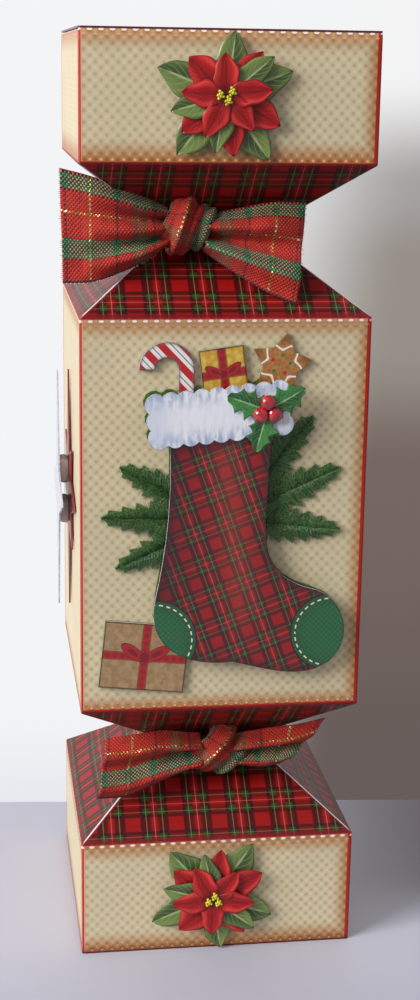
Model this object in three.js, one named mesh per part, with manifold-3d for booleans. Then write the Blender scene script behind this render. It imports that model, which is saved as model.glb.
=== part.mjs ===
// A Christmas cracker made as a gift box: creased card panels pinched in at two necks,
// a tartan ribbon tied round each neck, layered card toppers on foam pads, a tuck-in lid
// at each end, and the snap, paper crown, motto and gift inside.
// Millimetres. +Z up, front towards -Y, origin in the middle of the base.
import * as THREE from 'three';
import { mergeVertices } from 'three/addons/utils/BufferGeometryUtils.js';
import Module from 'manifold-3d';

const wasm = await Module();
wasm.setup();

// Card box
const boxWidth = 65;
const bodyHeight = 91.4;
const blockHeight = 28.2;
const neckWidth = 27;
const neckHeight = 5;
const taperHeight = 14;
const cardThickness = 0.4;
const fitGap = 0.3;
const glueGap = 0.1;
const cornerSlit = 0.15;
const glueTabWidth = 6;
const glueTabInset = 1.5;
const lidTabInset = 3;

// Lids and flaps
const tuckLength = 14;
const tuckSideCut = 4;
const tuckCornerRadius = 5;
const tuckSwingGap = 0.8;
const dustFlapDepth = 26;
const dustFlapSetback = 7;
const dustFlapSideCut = 4;
const dustFlapGap = 0.6;
const lidCornerRadius = 0.8;

// Ribbon round each neck
const ribbonWidth = 25;
const ribbonThickness = 0.5;
const ribbonGap = 0.4;
const wrapDepth = 3.4;
const wrapRidge = 0.5;
const knotWidth = 9.6;
const knotHeight = 12.4;
const knotDepth = 7.5;
const knotRim = 0.35;
const upperKnotShift = -8;
const upperKnotLift = 2.5;
const lowerKnotShift = 1;
const lowerKnotLift = 1.5;
const tailGap = 0.7;

// Poinsettia on each end block. Leaves and petals are [angle clockwise from straight up,
// length, width], the last two in shares of the flower's radius.
const flowerRadius = 13.4;
const flowerShift = -1.3;
const flowerOffset = 0.4;
const thinFoamThickness = 1;
const greenLeaves = [
  [8, 1, 0.54], [51, 0.96, 0.43], [70, 1.13, 0.61], [145, 1.22, 0.63],
  [191, 0.9, 0.4], [220, 1.21, 0.63], [254, 0.93, 0.45], [291, 1.16, 0.61],
];
const broadPetals = [
  [-46, 0.84, 0.57], [40, 0.88, 0.43], [118, 0.99, 0.57], [172, 0.96, 0.48], [231, 0.92, 0.54],
];
const slimPetals = [
  [-3, 0.65, 0.42], [83, 0.73, 0.42], [141, 0.69, 0.39], [208, 0.73, 0.42], [273, 0.73, 0.42],
];

// Star topper on the left wall
const starHeight = 59;
const starWidth = 46;
const starWaist = 10.5;
const starShift = 5;
const starDrop = 1.4;
const starPad = { width: 7, height: 6, offset: 5 };

// Stocking topper on the front wall. The stocking, its cuff, the parcel and the foam pads are
// placed from the middle of the wall in shares of the stocking's height.
const foamThickness = 2;
const stockingHeight = 60;
const footPad = { size: 8, places: { upper: [-0.033, 0.25], middle: [-0.033, -0.067], toe: [0.3, -0.433] } };
const cuff = { x: -0.033, z: 0.417, width: 31, height: 11, tilt: 6, longScallops: 9, endScallops: 3 };
const scallopDepth = 0.45;
const parcel = { x: -0.3, z: -0.533, width: 19.6, height: 16, tilt: -6 };

// What stands in or on the cuff is placed from the cuff's middle.
const cuffPad = { width: 6, height: 3, places: { left: [-7, -2.5], right: [6, -1] } };
const cane = { x: -7, foot: -1, top: 9.5, bend: 4.4, width: 3.4 };
const biscuit = { x: 14, z: 10.5, tips: 5, reach: 7, waist: 4, tilt: -11 };
const smallGift = { x: 1.3, z: 8.5, width: 10.1, height: 11.6, tilt: 8 };
const holly = { fromCuffEnd: 5, z: 1, leafLength: 9.5, leafWidth: 6, hub: 1.6 };
const berryRadius = 1.7;
const berryHeight = 1.2;

// Fir sprigs as [angle from straight up, length, width]
const sprigs = [[-62, 27, 9], [-88, 28, 9], [40, 31, 10], [66, 29, 10], [96, 27, 9], [-114, 27, 9]];

// Contents
const snapWidth = 6;
const snapOverlap = 26;
const snapEndReach = 10;
const sleeveWall = 0.3;
const sleeveMargin = 2;
const giftSize = { x: 30, y: 24, z: 26 };
const crownRadius = 7;
const crownLength = 52;
const mottoRadius = 2.6;
const mottoLength = 44;

// Heights and half sizes worked out from the sizes above
const half = boxWidth / 2;
const innerHalf = half - cardThickness;
const neckHalf = neckWidth / 2;
const taperRun = half - neckHalf;
const neckGap = neckHeight + 2 * taperHeight;
const bodyBottom = blockHeight + neckGap;
const bodyTop = bodyBottom + bodyHeight;
const topBlockBottom = bodyTop + neckGap;
const boxTop = topBlockBottom + blockHeight;
const wallTop = boxTop - cardThickness - fitGap;
const lidHoldLevel = cardThickness + fitGap;
const lowerNeckMiddle = blockHeight + neckGap / 2;
const upperNeckMiddle = bodyTop + neckGap / 2;
const faceMiddle = bodyBottom + bodyHeight / 2;
const cuffMiddle = [cuff.x * stockingHeight, cuff.z * stockingHeight];

const materials = {
  card: new THREE.MeshStandardMaterial({ color: 0xc9b68d, roughness: 0.45 }),
  lid: new THREE.MeshStandardMaterial({ color: 0x8c1c1c, roughness: 0.5 }),
  flap: new THREE.MeshStandardMaterial({ color: 0xf1ece2, roughness: 0.8 }),
  ribbon: new THREE.MeshStandardMaterial({ color: 0xb3201c, roughness: 0.75 }),
  tartan: new THREE.MeshStandardMaterial({ color: 0xa01818, roughness: 0.35 }),
  fur: new THREE.MeshStandardMaterial({ color: 0xf2f3f8, roughness: 0.6 }),
  leaf: new THREE.MeshStandardMaterial({ color: 0x2f6b2c, roughness: 0.35 }),
  berry: new THREE.MeshStandardMaterial({ color: 0xc4141d, roughness: 0.2 }),
  petal: new THREE.MeshStandardMaterial({ color: 0xb5161a, roughness: 0.35 }),
  cane: new THREE.MeshStandardMaterial({ color: 0xe9dada, roughness: 0.35 }),
  biscuit: new THREE.MeshStandardMaterial({ color: 0x9a6432, roughness: 0.5 }),
  gold: new THREE.MeshStandardMaterial({ color: 0xd3a63a, roughness: 0.4 }),
  foam: new THREE.MeshStandardMaterial({ color: 0xf7f7f4, roughness: 0.9 }),
  kraft: new THREE.MeshStandardMaterial({ color: 0x9b7a52, roughness: 0.8 }),
  tissue: new THREE.MeshStandardMaterial({ color: 0xc8202c, roughness: 0.85 }),
};

const cracker = new THREE.Group();
cracker.name = 'cracker';

function add(name, geometry, material, parent = cracker) {
  const mesh = new THREE.Mesh(geometry, material);
  mesh.name = name;
  parent.add(mesh);
  return mesh;
}

// Only positions are kept and shared corners merged; the faces are turned out if they point in.
function closed(geometry) {
  const bare = geometry.clone();
  bare.deleteAttribute('normal');
  bare.deleteAttribute('uv');
  const merged = mergeVertices(bare, 1e-5);
  const points = merged.attributes.position;
  const index = merged.index.array;
  const [a, b, c] = [new THREE.Vector3(), new THREE.Vector3(), new THREE.Vector3()];
  let volume = 0;
  for (let i = 0; i < index.length; i += 3) {
    a.fromBufferAttribute(points, index[i]);
    b.fromBufferAttribute(points, index[i + 1]);
    c.fromBufferAttribute(points, index[i + 2]);
    volume += a.dot(b.cross(c));
  }
  if (volume < 0) {
    for (let i = 0; i < index.length; i += 3) {
      [index[i], index[i + 1]] = [index[i + 1], index[i]];
    }
  }
  return merged;
}

function toSolid(geometry) {
  const merged = closed(geometry);
  return new wasm.Manifold(new wasm.Mesh({
    numProp: 3,
    vertProperties: new Float32Array(merged.attributes.position.array),
    triVerts: new Uint32Array(merged.index.array),
  }));
}

function toGeometry(solid) {
  const mesh = solid.getMesh();
  const geometry = new THREE.BufferGeometry();
  geometry.setAttribute('position', new THREE.BufferAttribute(mesh.vertProperties, 3));
  geometry.setIndex(new THREE.BufferAttribute(mesh.triVerts, 1));
  geometry.computeVertexNormals();
  return geometry;
}

function joined(geometries) {
  return toGeometry(geometries.map(toSolid).reduce((whole, next) => whole.add(next)));
}

function sheetOf(shape, thickness = cardThickness, curveSegments = 6) {
  return new THREE.ExtrudeGeometry(shape, { depth: thickness, bevelEnabled: false, curveSegments });
}

function shapeFrom(points) {
  return new THREE.Shape(points.map(([x, y]) => new THREE.Vector2(x, y)));
}

// Card panels

// The fold line of a panel, as [height, inset from the box face], from foot to rim.
function foldLine(foot) {
  return [
    [foot, 0],
    [blockHeight, 0],
    [blockHeight + taperHeight, taperRun],
    [blockHeight + taperHeight + neckHeight, taperRun],
    [bodyBottom, 0],
    [bodyTop, 0],
    [bodyTop + taperHeight, taperRun],
    [bodyTop + taperHeight + neckHeight, taperRun],
    [topBlockBottom, 0],
    [wallTop, 0],
  ];
}

// Moves a fold line inwards by the card's thickness, keeping that thickness round each bend.
function insideOf(line) {
  const normals = line.slice(1).map(([z, d], i) => {
    const [dz, dd] = [z - line[i][0], d - line[i][1]];
    const length = Math.hypot(dz, dd);
    return [-dd / length, dz / length];
  });
  return line.map(([z, d], i) => {
    const before = normals[Math.max(i - 1, 0)];
    const after = normals[Math.min(i, normals.length - 1)];
    const share = cardThickness / (1 + before[0] * after[0] + before[1] * after[1]);
    return [z + (before[0] + after[0]) * share, d + (before[1] + after[1]) * share];
  });
}

// A panel facing -Y. Its edges follow the box's corners, so the tapers come out as trapezoids.
function foldedPanel(foot) {
  const outside = foldLine(foot);
  const outline = [...outside, ...insideOf(outside).reverse()].map(([z, d]) => [d, z]);
  const geometry = sheetOf(shapeFrom(outline), 1);
  const points = geometry.attributes.position;
  for (let i = 0; i < points.count; i += 1) {
    const reach = half - points.getX(i);
    const side = points.getZ(i) > 0.5 ? 1 : -1;
    points.setXYZ(i, side * (reach - cornerSlit), -reach, points.getY(i));
  }
  return geometry;
}

// A glue tab turned back from a panel's right edge, to lie inside the next panel.
function glueTab(low, high) {
  const root = -innerHalf - cardThickness / 4;
  const tip = -innerHalf + glueTabWidth;
  const slope = glueTabWidth / 2;
  const outline = [[root, low], [tip, low + slope], [tip, high - slope], [root, high]];
  const tab = sheetOf(shapeFrom(outline));
  tab.rotateX(Math.PI / 2);
  tab.rotateZ(Math.PI / 2);
  tab.translate(innerHalf - cornerSlit - cardThickness, 0, 0);
  return tab;
}

function panel(foot) {
  return joined([
    foldedPanel(foot),
    glueTab(lidTabInset, blockHeight - glueTabInset),
    glueTab(bodyBottom + glueTabInset, bodyTop - glueTabInset),
    glueTab(topBlockBottom + glueTabInset, boxTop - lidTabInset),
  ]);
}

function addPanels() {
  const sides = ['front_panel', 'right_panel', 'back_panel', 'left_panel'];
  sides.forEach((name, turn) => {
    const foot = name === 'back_panel' ? lidHoldLevel : 0;
    add(name, panel(foot), materials.card).rotation.z = turn * Math.PI / 2;
  });
}

// Lids and flaps

function roundedOblong(x0, x1, y0, y1, radius) {
  const shape = new THREE.Shape();
  shape.moveTo(x0 + radius, y0);
  shape.lineTo(x1 - radius, y0);
  shape.absarc(x1 - radius, y0 + radius, radius, -Math.PI / 2, 0);
  shape.lineTo(x1, y1 - radius);
  shape.absarc(x1 - radius, y1 - radius, radius, 0, Math.PI / 2);
  shape.lineTo(x0 + radius, y1);
  shape.absarc(x0 + radius, y1 - radius, radius, Math.PI / 2, Math.PI);
  shape.lineTo(x0, y0 + radius);
  shape.absarc(x0 + radius, y0 + radius, radius, Math.PI, 1.5 * Math.PI);
  return shape;
}

// The tuck flap leans in so that its tip clears the front wall as the lid swings.
const lidSwing = half + innerHalf - fitGap;
const tuckTipReach = Math.sqrt((lidSwing + fitGap - tuckSwingGap) ** 2 - tuckLength ** 2);
const tuckLean = Math.asin((lidSwing - tuckTipReach) / tuckLength);

function tuckShape() {
  const crease = innerHalf - cardThickness - cornerSlit - fitGap;
  const tip = crease - tuckSideCut;
  const r = tuckCornerRadius;
  const shape = new THREE.Shape();
  shape.moveTo(-crease, 0);
  shape.lineTo(-tip - r * tuckSideCut / tuckLength, -tuckLength + r);
  shape.quadraticCurveTo(-tip, -tuckLength, -tip + r, -tuckLength);
  shape.lineTo(tip - r, -tuckLength);
  shape.quadraticCurveTo(tip, -tuckLength, tip + r * tuckSideCut / tuckLength, -tuckLength + r);
  shape.lineTo(crease, 0);
  return shape;
}

function addLids() {
  const topShape = roundedOblong(-half, half, -half, half, lidCornerRadius);
  add('top_lid', sheetOf(topShape, cardThickness, 3), materials.lid).position.z = boxTop - cardThickness;

  const inside = innerHalf - fitGap;
  const bottomShape = roundedOblong(-inside, inside, -inside, half, lidCornerRadius);
  add('bottom_lid', sheetOf(bottomShape, cardThickness, 3), materials.lid);

  const topTuck = sheetOf(tuckShape());
  topTuck.translate(0, 0, -cardThickness);
  const top = add('top_tuck_flap', topTuck, materials.flap);
  top.position.set(0, -inside, wallTop);
  top.rotation.x = Math.PI / 2 + tuckLean;

  const bottom = add('bottom_tuck_flap', sheetOf(tuckShape()), materials.flap);
  bottom.position.set(0, -inside, lidHoldLevel);
  bottom.rotation.x = -Math.PI / 2 - tuckLean;
}

function addDustFlaps() {
  const root = half - dustFlapSetback;
  const tip = root - dustFlapSideCut;
  const hinge = innerHalf - dustFlapGap;
  const free = hinge - dustFlapDepth;
  const flap = sheetOf(shapeFrom([[hinge, -root], [free, -tip], [free, tip], [hinge, root]]));
  [['left', Math.PI], ['right', 0]].forEach(([side, turn]) => {
    const top = add(`top_${side}_dust_flap`, flap, materials.flap);
    top.rotation.z = turn;
    top.position.z = wallTop - cardThickness;
    const bottom = add(`bottom_${side}_dust_flap`, flap, materials.flap);
    bottom.rotation.z = turn;
    bottom.position.z = lidHoldLevel;
  });
}

// Ribbons

// Half the free height between the two tapers, at a distance from the neck's axis.
function grooveHalfHeight(reach) {
  return neckHeight / 2 + Math.max(0, reach - neckHalf - ribbonGap) * taperHeight / taperRun;
}

// A closed skin over rings of points. The rings run round in a loop, or are flat ribbon
// sections whose first and last are closed with a strip of faces.
function skin(rings, loop) {
  const size = rings[0].length;
  const at = (ring, point) => (ring % rings.length) * size + point % size;
  const index = [];
  for (let i = 0; i < (loop ? rings.length : rings.length - 1); i += 1) {
    for (let j = 0; j < size; j += 1) {
      index.push(at(i, j), at(i + 1, j), at(i + 1, j + 1));
      index.push(at(i, j), at(i + 1, j + 1), at(i, j + 1));
    }
  }
  for (let j = 0; !loop && j < size / 2 - 1; j += 1) {
    const opposite = size - 1 - j;
    const end = rings.length - 1;
    index.push(at(0, j), at(0, j + 1), at(0, opposite - 1));
    index.push(at(0, j), at(0, opposite - 1), at(0, opposite));
    index.push(at(end, j), at(end, opposite - 1), at(end, j + 1));
    index.push(at(end, j), at(end, opposite), at(end, opposite - 1));
  }
  const geometry = new THREE.BufferGeometry();
  geometry.setAttribute('position', new THREE.Float32BufferAttribute(rings.flat(2), 3));
  geometry.setIndex(index);
  return closed(geometry);
}

// The turn of ribbon drawn tight in the groove, ridged along its length where it gathers.
function ribbonWrap() {
  const steps = 32;
  const ridges = 3;
  const across = 8;
  const rings = [];
  for (let i = 0; i < steps; i += 1) {
    const angle = 2 * Math.PI * i / steps;
    const [c, s] = [Math.cos(angle), Math.sin(angle)];
    const square = 1 / Math.max(Math.abs(c), Math.abs(s));
    const rounded = 1 / (Math.abs(c) ** 6 + Math.abs(s) ** 6) ** (1 / 6);
    const outer = (neckHalf + wrapDepth) * rounded / square;
    const top = grooveHalfHeight(outer) - ribbonGap;
    const section = [[neckHalf + ribbonGap, -neckHeight / 2 + ribbonGap]];
    for (let j = 0; j <= across; j += 1) {
      const share = j / across;
      const ridge = wrapRidge * Math.sin(Math.PI * share * ridges) ** 2;
      section.push([outer + ridge - wrapRidge / 2, top * (2 * share - 1)]);
    }
    section.push([neckHalf + ribbonGap, neckHeight / 2 - ribbonGap]);
    rings.push(section.map(([reach, z]) => [reach * square * c, reach * square * s, z]));
  }
  return skin(rings, true);
}

// The knot: a plump nub with slanting folds. Its flattened back lies against the wrap and
// the tapers above and below it.
function ribbonKnot(shift, lift) {
  const knot = new THREE.SphereGeometry(1, 20, 12);
  const points = knot.attributes.position;
  const wrapFront = neckHalf + wrapDepth + wrapRidge / 2 + fitGap;
  const p = new THREE.Vector3();
  for (let i = 0; i < points.count; i += 1) {
    p.fromBufferAttribute(points, i);
    const fold = 1 + 0.1 * Math.cos(7 * (p.x + 0.35 * p.z) + 1) * (1 - p.z * p.z);
    const z = lift + p.z * knotHeight / 2;
    const slope = (Math.abs(z) - neckHeight / 2 + ribbonGap) * taperRun / taperHeight;
    const backing = Math.max(wrapFront, neckHalf + ribbonGap + slope);
    const plump = p.y < 0 ? knotRim - (1 - knotRim) * p.y * fold : knotRim * (1 - Math.sqrt(p.y));
    points.setXYZ(i, shift + p.x * fold * knotWidth / 2, -backing - plump * knotDepth, z);
  }
  return closed(knot);
}

// A loose end, from an upper and a lower edge that each run [x, forward of the neck, height],
// in shares of the ribbon's width.
// The V between the tapers squeezes it, and it leaves the knot in pleats.
function ribbonTail(edges, pleats, bulge) {
  const along = 10;
  const across = 12;
  const curves = edges.map((edge) => new THREE.CatmullRomCurve3(
    edge.map(([x, forward, z]) => (
      new THREE.Vector3(x, -forward, z).multiplyScalar(ribbonWidth).add(new THREE.Vector3(0, -neckHalf, 0))
    )),
  ));
  const rings = [];
  for (let i = 0; i <= along; i += 1) {
    const run = i / along;
    const [upper, lower] = curves.map((curve) => squeezed(curve.getPoint(run)));
    const front = [];
    for (let j = 0; j <= across; j += 1) {
      const share = j / across;
      const p = upper.clone().lerp(lower, share);
      p.x += bulge * run ** 4 * (1 - (2 * share - 1) ** 2);
      p.y -= pleats.depth * (1 - run) ** 1.2 * Math.sin(Math.PI * share * pleats.count) ** 2;
      front.push(p.toArray());
    }
    const back = front.map(([x, y, z]) => [x, y - ribbonThickness, z]).reverse();
    rings.push([...front, ...back]);
  }
  return skin(rings, false);
}

// Keeps a point of a ribbon's edge clear of the tapers above and below it.
function squeezed(p) {
  const room = grooveHalfHeight(Math.max(Math.abs(p.x), -p.y)) - ribbonGap;
  p.z = THREE.MathUtils.clamp(p.z, -room, room);
  return p;
}

function addRibbon(name, middle, knotShift, knotLift, tails) {
  const ribbon = new THREE.Group();
  ribbon.position.z = middle;
  cracker.add(ribbon);
  add(`${name}_ribbon_wrap`, ribbonWrap(), materials.ribbon, ribbon);
  add(`${name}_ribbon_knot`, ribbonKnot(knotShift, knotLift), materials.ribbon, ribbon);
  Object.entries(tails).forEach(([side, tail]) => {
    const geometry = ribbonTail(tail.edges, tail.pleats, tail.bulge);
    add(`${name}_ribbon_${side}_tail`, geometry, materials.ribbon, ribbon);
  });
}

function addRibbons() {
  const side = knotWidth / 2 + tailGap;
  const rootLeft = (upperKnotShift - side) / ribbonWidth;
  const rootRight = (upperKnotShift + side) / ribbonWidth;
  const lowLeft = (lowerKnotShift - side) / ribbonWidth;
  const lowRight = (lowerKnotShift + side) / ribbonWidth;
  addRibbon('upper', upperNeckMiddle, upperKnotShift, upperKnotLift, {
    left: {
      edges: [
        [[rootLeft, 0.28, 0.3], [-0.88, 0.46, 0.42], [-1.16, 0.44, 0.53], [-1.44, 0.4, 0.604]],
        [[rootLeft, 0.28, -0.1], [-0.84, 0.46, -0.27], [-1.12, 0.44, -0.37], [-1.42, 0.4, -0.396]],
      ],
      pleats: { depth: 1.8, count: 3 },
      bulge: -1,
    },
    right: {
      edges: [
        [[rootRight, 0.28, 0.17], [0.16, 0.32, 0.25], [0.44, 0.38, 0.32], [0.74, 0.4, 0.32]],
        [[rootRight, 0.28, -0.15], [0.12, 0.44, -0.31], [0.36, 0.56, -0.45], [0.632, 0.66, -0.56]],
      ],
      pleats: { depth: 2.2, count: 2 },
      bulge: 1.2,
    },
  });
  addRibbon('lower', lowerNeckMiddle, lowerKnotShift, lowerKnotLift, {
    left: {
      edges: [
        [[lowLeft, 0.28, 0.24], [-0.48, 0.32, 0.29], [-0.76, 0.36, 0.27], [-1.04, 0.36, 0.23]],
        [[lowLeft, 0.32, -0.07], [-0.52, 0.4, -0.2], [-0.84, 0.48, -0.3], [-1.14, 0.52, -0.3]],
      ],
      pleats: { depth: 1.8, count: 2 },
      bulge: -0.3,
    },
    right: {
      edges: [
        [[lowRight, 0.28, 0.18], [0.52, 0.36, 0.26], [0.8, 0.44, 0.34], [1.06, 0.48, 0.4]],
        [[lowRight, 0.28, -0.12], [0.44, 0.32, -0.13], [0.56, 0.32, -0.12], [0.66, 0.32, -0.1]],
      ],
      pleats: { depth: 1.6, count: 2 },
      bulge: 0,
    },
  });
}

// Toppers

// Stands a flat shape drawn in x and z against the front face, its back at a depth from it.
function onFront(geometry, depth) {
  const upright = geometry.clone();
  upright.rotateX(Math.PI / 2);
  upright.translate(0, -half - depth, 0);
  return upright;
}

function leafShape(length, width) {
  const shape = new THREE.Shape();
  shape.moveTo(0, 0);
  shape.quadraticCurveTo(width * 0.75, length * 0.4, 0, length);
  shape.quadraticCurveTo(-width * 0.75, length * 0.4, 0, 0);
  return shape;
}

// A fir sprig: a leaf shape whose sides run out and back in needles.
function firShape(length, width) {
  const needles = 9;
  const side = [];
  for (let i = 1; i < needles; i += 1) {
    const reach = width / 2 * Math.sin(Math.PI * (0.2 + 0.75 * i / needles));
    side.push([reach, length * (i + 0.45) / needles], [0.55 * reach, length * (i + 0.5) / needles]);
  }
  const left = side.map(([x, y]) => [-x, y]).reverse();
  return shapeFrom([[width / 8, 0], ...side, [0, length], ...left, [-width / 8, 0]]);
}

// Leaves or petals round a middle: each is [angle in degrees, length, width].
function rosette(leaves, hub, thickness = cardThickness) {
  const parts = leaves.map(([angle, length, width]) => {
    const leaf = sheetOf(leafShape(length, width), thickness);
    leaf.rotateZ(THREE.MathUtils.degToRad(angle));
    return leaf;
  });
  const disc = new THREE.Shape().absarc(0, 0, hub, 0, 2 * Math.PI);
  return joined([sheetOf(disc, thickness, 10), ...parts]);
}

function discPad(radius, thickness) {
  return sheetOf(new THREE.Shape().absarc(0, 0, radius, 0, 2 * Math.PI), thickness, 12);
}

function boxPad(width, height, thickness) {
  return sheetOf(roundedOblong(-width / 2, width / 2, -height / 2, height / 2, 0.5), thickness, 2);
}

// A poinsettia die-cut: leaves under petals, on one thin foam pad. The lower flower is the
// upper one turned upside down, left staying left.
function addPoinsettia(name, height, upsideDown) {
  const spread = (places) => places.map(([angle, length, width]) => [
    upsideDown ? angle - 180 : -angle, length * flowerRadius, width * flowerRadius,
  ]);
  const leaves = rosette(spread(greenLeaves), 0.3 * flowerRadius);
  const petals = rosette(spread([...broadPetals, ...slimPetals]), 0.28 * flowerRadius);
  const pad = discPad(0.25 * flowerRadius, thinFoamThickness);
  const depths = [glueGap, 2 * glueGap + thinFoamThickness];
  depths.push(depths[1] + cardThickness + glueGap);
  const pieces = [
    [`${name}_poinsettia_pad`, pad, materials.foam],
    [`${name}_poinsettia_leaves`, leaves, materials.leaf],
    [`${name}_poinsettia_petals`, petals, materials.petal],
  ];
  pieces.forEach(([piece, geometry, material], layer) => {
    const mesh = add(piece, onFront(geometry, depths[layer]), material);
    mesh.position.set(flowerShift, 0, height);
  });
}

// Corners of a turned oblong, anticlockwise from the lower left.
function tiltedCorners([x, z], { width, height, tilt }) {
  const angle = THREE.MathUtils.degToRad(tilt);
  const middle = new THREE.Vector2(x, z);
  return [[-1, -1], [1, -1], [1, 1], [-1, 1]].map(([right, up]) => (
    new THREE.Vector2(x + right * width / 2, z + up * height / 2).rotateAround(middle, angle).toArray()
  ));
}

function onCuff([x, z]) {
  return [cuffMiddle[0] + x, cuffMiddle[1] + z];
}

// The stocking's outline, from the cuff's left end round the heel and toe to its right end.
function stockingShape() {
  const shape = new THREE.Shape();
  const curve = (...shares) => shape.bezierCurveTo(...shares.map((share) => share * stockingHeight));
  shape.moveTo(-0.217 * stockingHeight, 0.367 * stockingHeight);
  curve(-0.2, 0.133, -0.217, -0.067, -0.258, -0.267);
  curve(-0.317, -0.5, -0.133, -0.567, 0.033, -0.55);
  curve(0.167, -0.583, 0.3, -0.633, 0.4, -0.567);
  curve(0.517, -0.483, 0.467, -0.3, 0.333, -0.267);
  curve(0.2, -0.233, 0.15, -0.15, 0.15, 0);
  shape.lineTo(0.167 * stockingHeight, 0.4 * stockingHeight);
  return shape;
}

// The fur cuff's edge runs in small scallops round a tilted oblong.
function cuffShape() {
  const corners = tiltedCorners(cuffMiddle, cuff);
  const shape = new THREE.Shape();
  shape.moveTo(...corners[0]);
  corners.forEach((from, side) => {
    const to = corners[(side + 1) % 4];
    const count = side % 2 ? cuff.endScallops : cuff.longScallops;
    const [dx, dz] = [(to[0] - from[0]) / count, (to[1] - from[1]) / count];
    for (let i = 0; i < count; i += 1) {
      const [x, z] = [from[0] + dx * i, from[1] + dz * i];
      const crest = [x + dx / 2 + dz * scallopDepth, z + dz / 2 - dx * scallopDepth];
      shape.quadraticCurveTo(...crest, x + dx, z + dz);
    }
  });
  return shape;
}

// The cane's crook is two half rings, drawn outwards and back.
function caneShape() {
  const [stem, foot] = onCuff([cane.x, cane.foot]);
  const [, top] = onCuff([cane.x, cane.top]);
  const [right, left] = [stem + cane.width / 2, stem - cane.width / 2];
  const [outer, inner] = [cane.bend + cane.width / 2, cane.bend - cane.width / 2];
  const shape = new THREE.Shape();
  shape.moveTo(left, foot);
  shape.lineTo(right, foot);
  shape.lineTo(right, top);
  shape.absarc(stem - cane.bend, top, outer, 0, Math.PI, false);
  shape.lineTo(right - 2 * cane.bend, top);
  shape.absarc(stem - cane.bend, top, inner, Math.PI, 0, true);
  return shape;
}

// A star's outline from the reaches of its tips, in order from the top round to the left.
function starShape(tips, waist) {
  const step = Math.PI / tips.length;
  const outline = tips.flatMap((reach, i) => {
    const angle = Math.PI / 2 + 2 * i * step;
    return [
      [reach * Math.cos(angle), reach * Math.sin(angle)],
      [waist * Math.cos(angle + step), waist * Math.sin(angle + step)],
    ];
  });
  return shapeFrom(outline);
}

function biscuitSheet() {
  const star = sheetOf(starShape(Array(biscuit.tips).fill(biscuit.reach), biscuit.waist));
  star.rotateZ(THREE.MathUtils.degToRad(biscuit.tilt));
  return star.translate(...onCuff([biscuit.x, biscuit.z]), 0);
}

function firTwigs() {
  return sprigs.map(([angle, length, width]) => {
    const twig = sheetOf(firShape(length, width));
    twig.rotateZ(-THREE.MathUtils.degToRad(angle));
    return twig;
  });
}

// The holly is pinned near the cuff's right end.
function hollyMiddle() {
  return onCuff([cuff.width / 2 - holly.fromCuffEnd, holly.z]);
}

function hollySprig() {
  const { leafLength, leafWidth, hub } = holly;
  const leaves = [70, -60, 165].map((angle) => [angle, leafLength, leafWidth]);
  return rosette(leaves, hub).translate(...hollyMiddle(), 0);
}

// Three berries pressed together round the holly's middle.
function berryCluster() {
  const spread = 1.05 * berryRadius;
  const [x, z] = hollyMiddle();
  return joined([0, 1, 2].map((i) => {
    const angle = Math.PI / 2 + i * 2 * Math.PI / 3;
    return berryDome(x + spread * Math.cos(angle), z + spread * Math.sin(angle));
  }));
}

// Each layer of the topper stands on the one behind it, with a film of glue between.
function topperLevels() {
  const backing = glueGap;
  const treats = backing + cardThickness + glueGap;
  const stocking = treats + foamThickness + glueGap;
  const cuffPads = stocking + cardThickness + glueGap;
  const cuffFace = cuffPads + thinFoamThickness + glueGap;
  const leaves = cuffFace + cardThickness + glueGap;
  const berries = leaves + cardThickness + glueGap;
  return { backing, treats, stocking, cuffPads, cuffFace, leaves, berries };
}

function addStockingTopper() {
  const levels = topperLevels();
  const place = (name, geometry, depth, material) => {
    add(name, onFront(geometry, depth), material).position.z = faceMiddle;
  };
  const stocking = sheetOf(stockingShape());
  const cuffSheet = sheetOf(cuffShape(), cardThickness, 3);
  const caneSheet = sheetOf(caneShape());
  const giftSheet = sheetOf(shapeFrom(tiltedCorners(onCuff([smallGift.x, smallGift.z]), smallGift)));
  const parcelMiddle = [parcel.x * stockingHeight, parcel.z * stockingHeight];
  const parcelSheet = sheetOf(shapeFrom(tiltedCorners(parcelMiddle, parcel)));
  const front = [stocking, cuffSheet, caneSheet, biscuitSheet(), giftSheet, parcelSheet];

  place('topper_backing', joined([...front, ...firTwigs()]), levels.backing, materials.leaf);
  place('topper_candy_cane', caneSheet, levels.treats, materials.cane);
  place('topper_biscuit_star', biscuitSheet(), levels.treats, materials.biscuit);
  place('topper_small_gift', giftSheet, levels.treats, materials.gold);
  place('topper_parcel', parcelSheet, levels.treats, materials.kraft);
  place('topper_stocking', stocking, levels.stocking, materials.tartan);
  place('topper_cuff', cuffSheet, levels.cuffFace, materials.fur);
  place('topper_holly', hollySprig(), levels.leaves, materials.leaf);
  place('topper_berries', berryCluster(), levels.berries, materials.berry);

  Object.entries(footPad.places).forEach(([name, [x, z]]) => {
    const pad = boxPad(footPad.size, footPad.size, foamThickness);
    pad.translate(x * stockingHeight, z * stockingHeight, 0);
    place(`topper_${name}_foam_pad`, pad, levels.treats, materials.foam);
  });
  Object.entries(cuffPad.places).forEach(([name, spot]) => {
    const pad = boxPad(cuffPad.width, cuffPad.height, thinFoamThickness);
    place(`topper_${name}_cuff_pad`, pad.translate(...onCuff(spot), 0), levels.cuffPads, materials.foam);
  });
}

// A berry: half a ball with a flat back, drawn facing +Z like the other flat shapes.
function berryDome(x, z) {
  const profile = [new THREE.Vector2(0, 0), new THREE.Vector2(berryRadius, 0)];
  for (let i = 1; i <= 4; i += 1) {
    const angle = Math.PI / 2 * i / 4;
    profile.push(new THREE.Vector2(berryRadius * Math.cos(angle), berryHeight * Math.sin(angle)));
  }
  profile[profile.length - 1].x = 0;
  const dome = new THREE.LatheGeometry(profile, 12);
  dome.rotateX(Math.PI / 2);
  dome.translate(x, z, 0);
  return dome;
}

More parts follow.
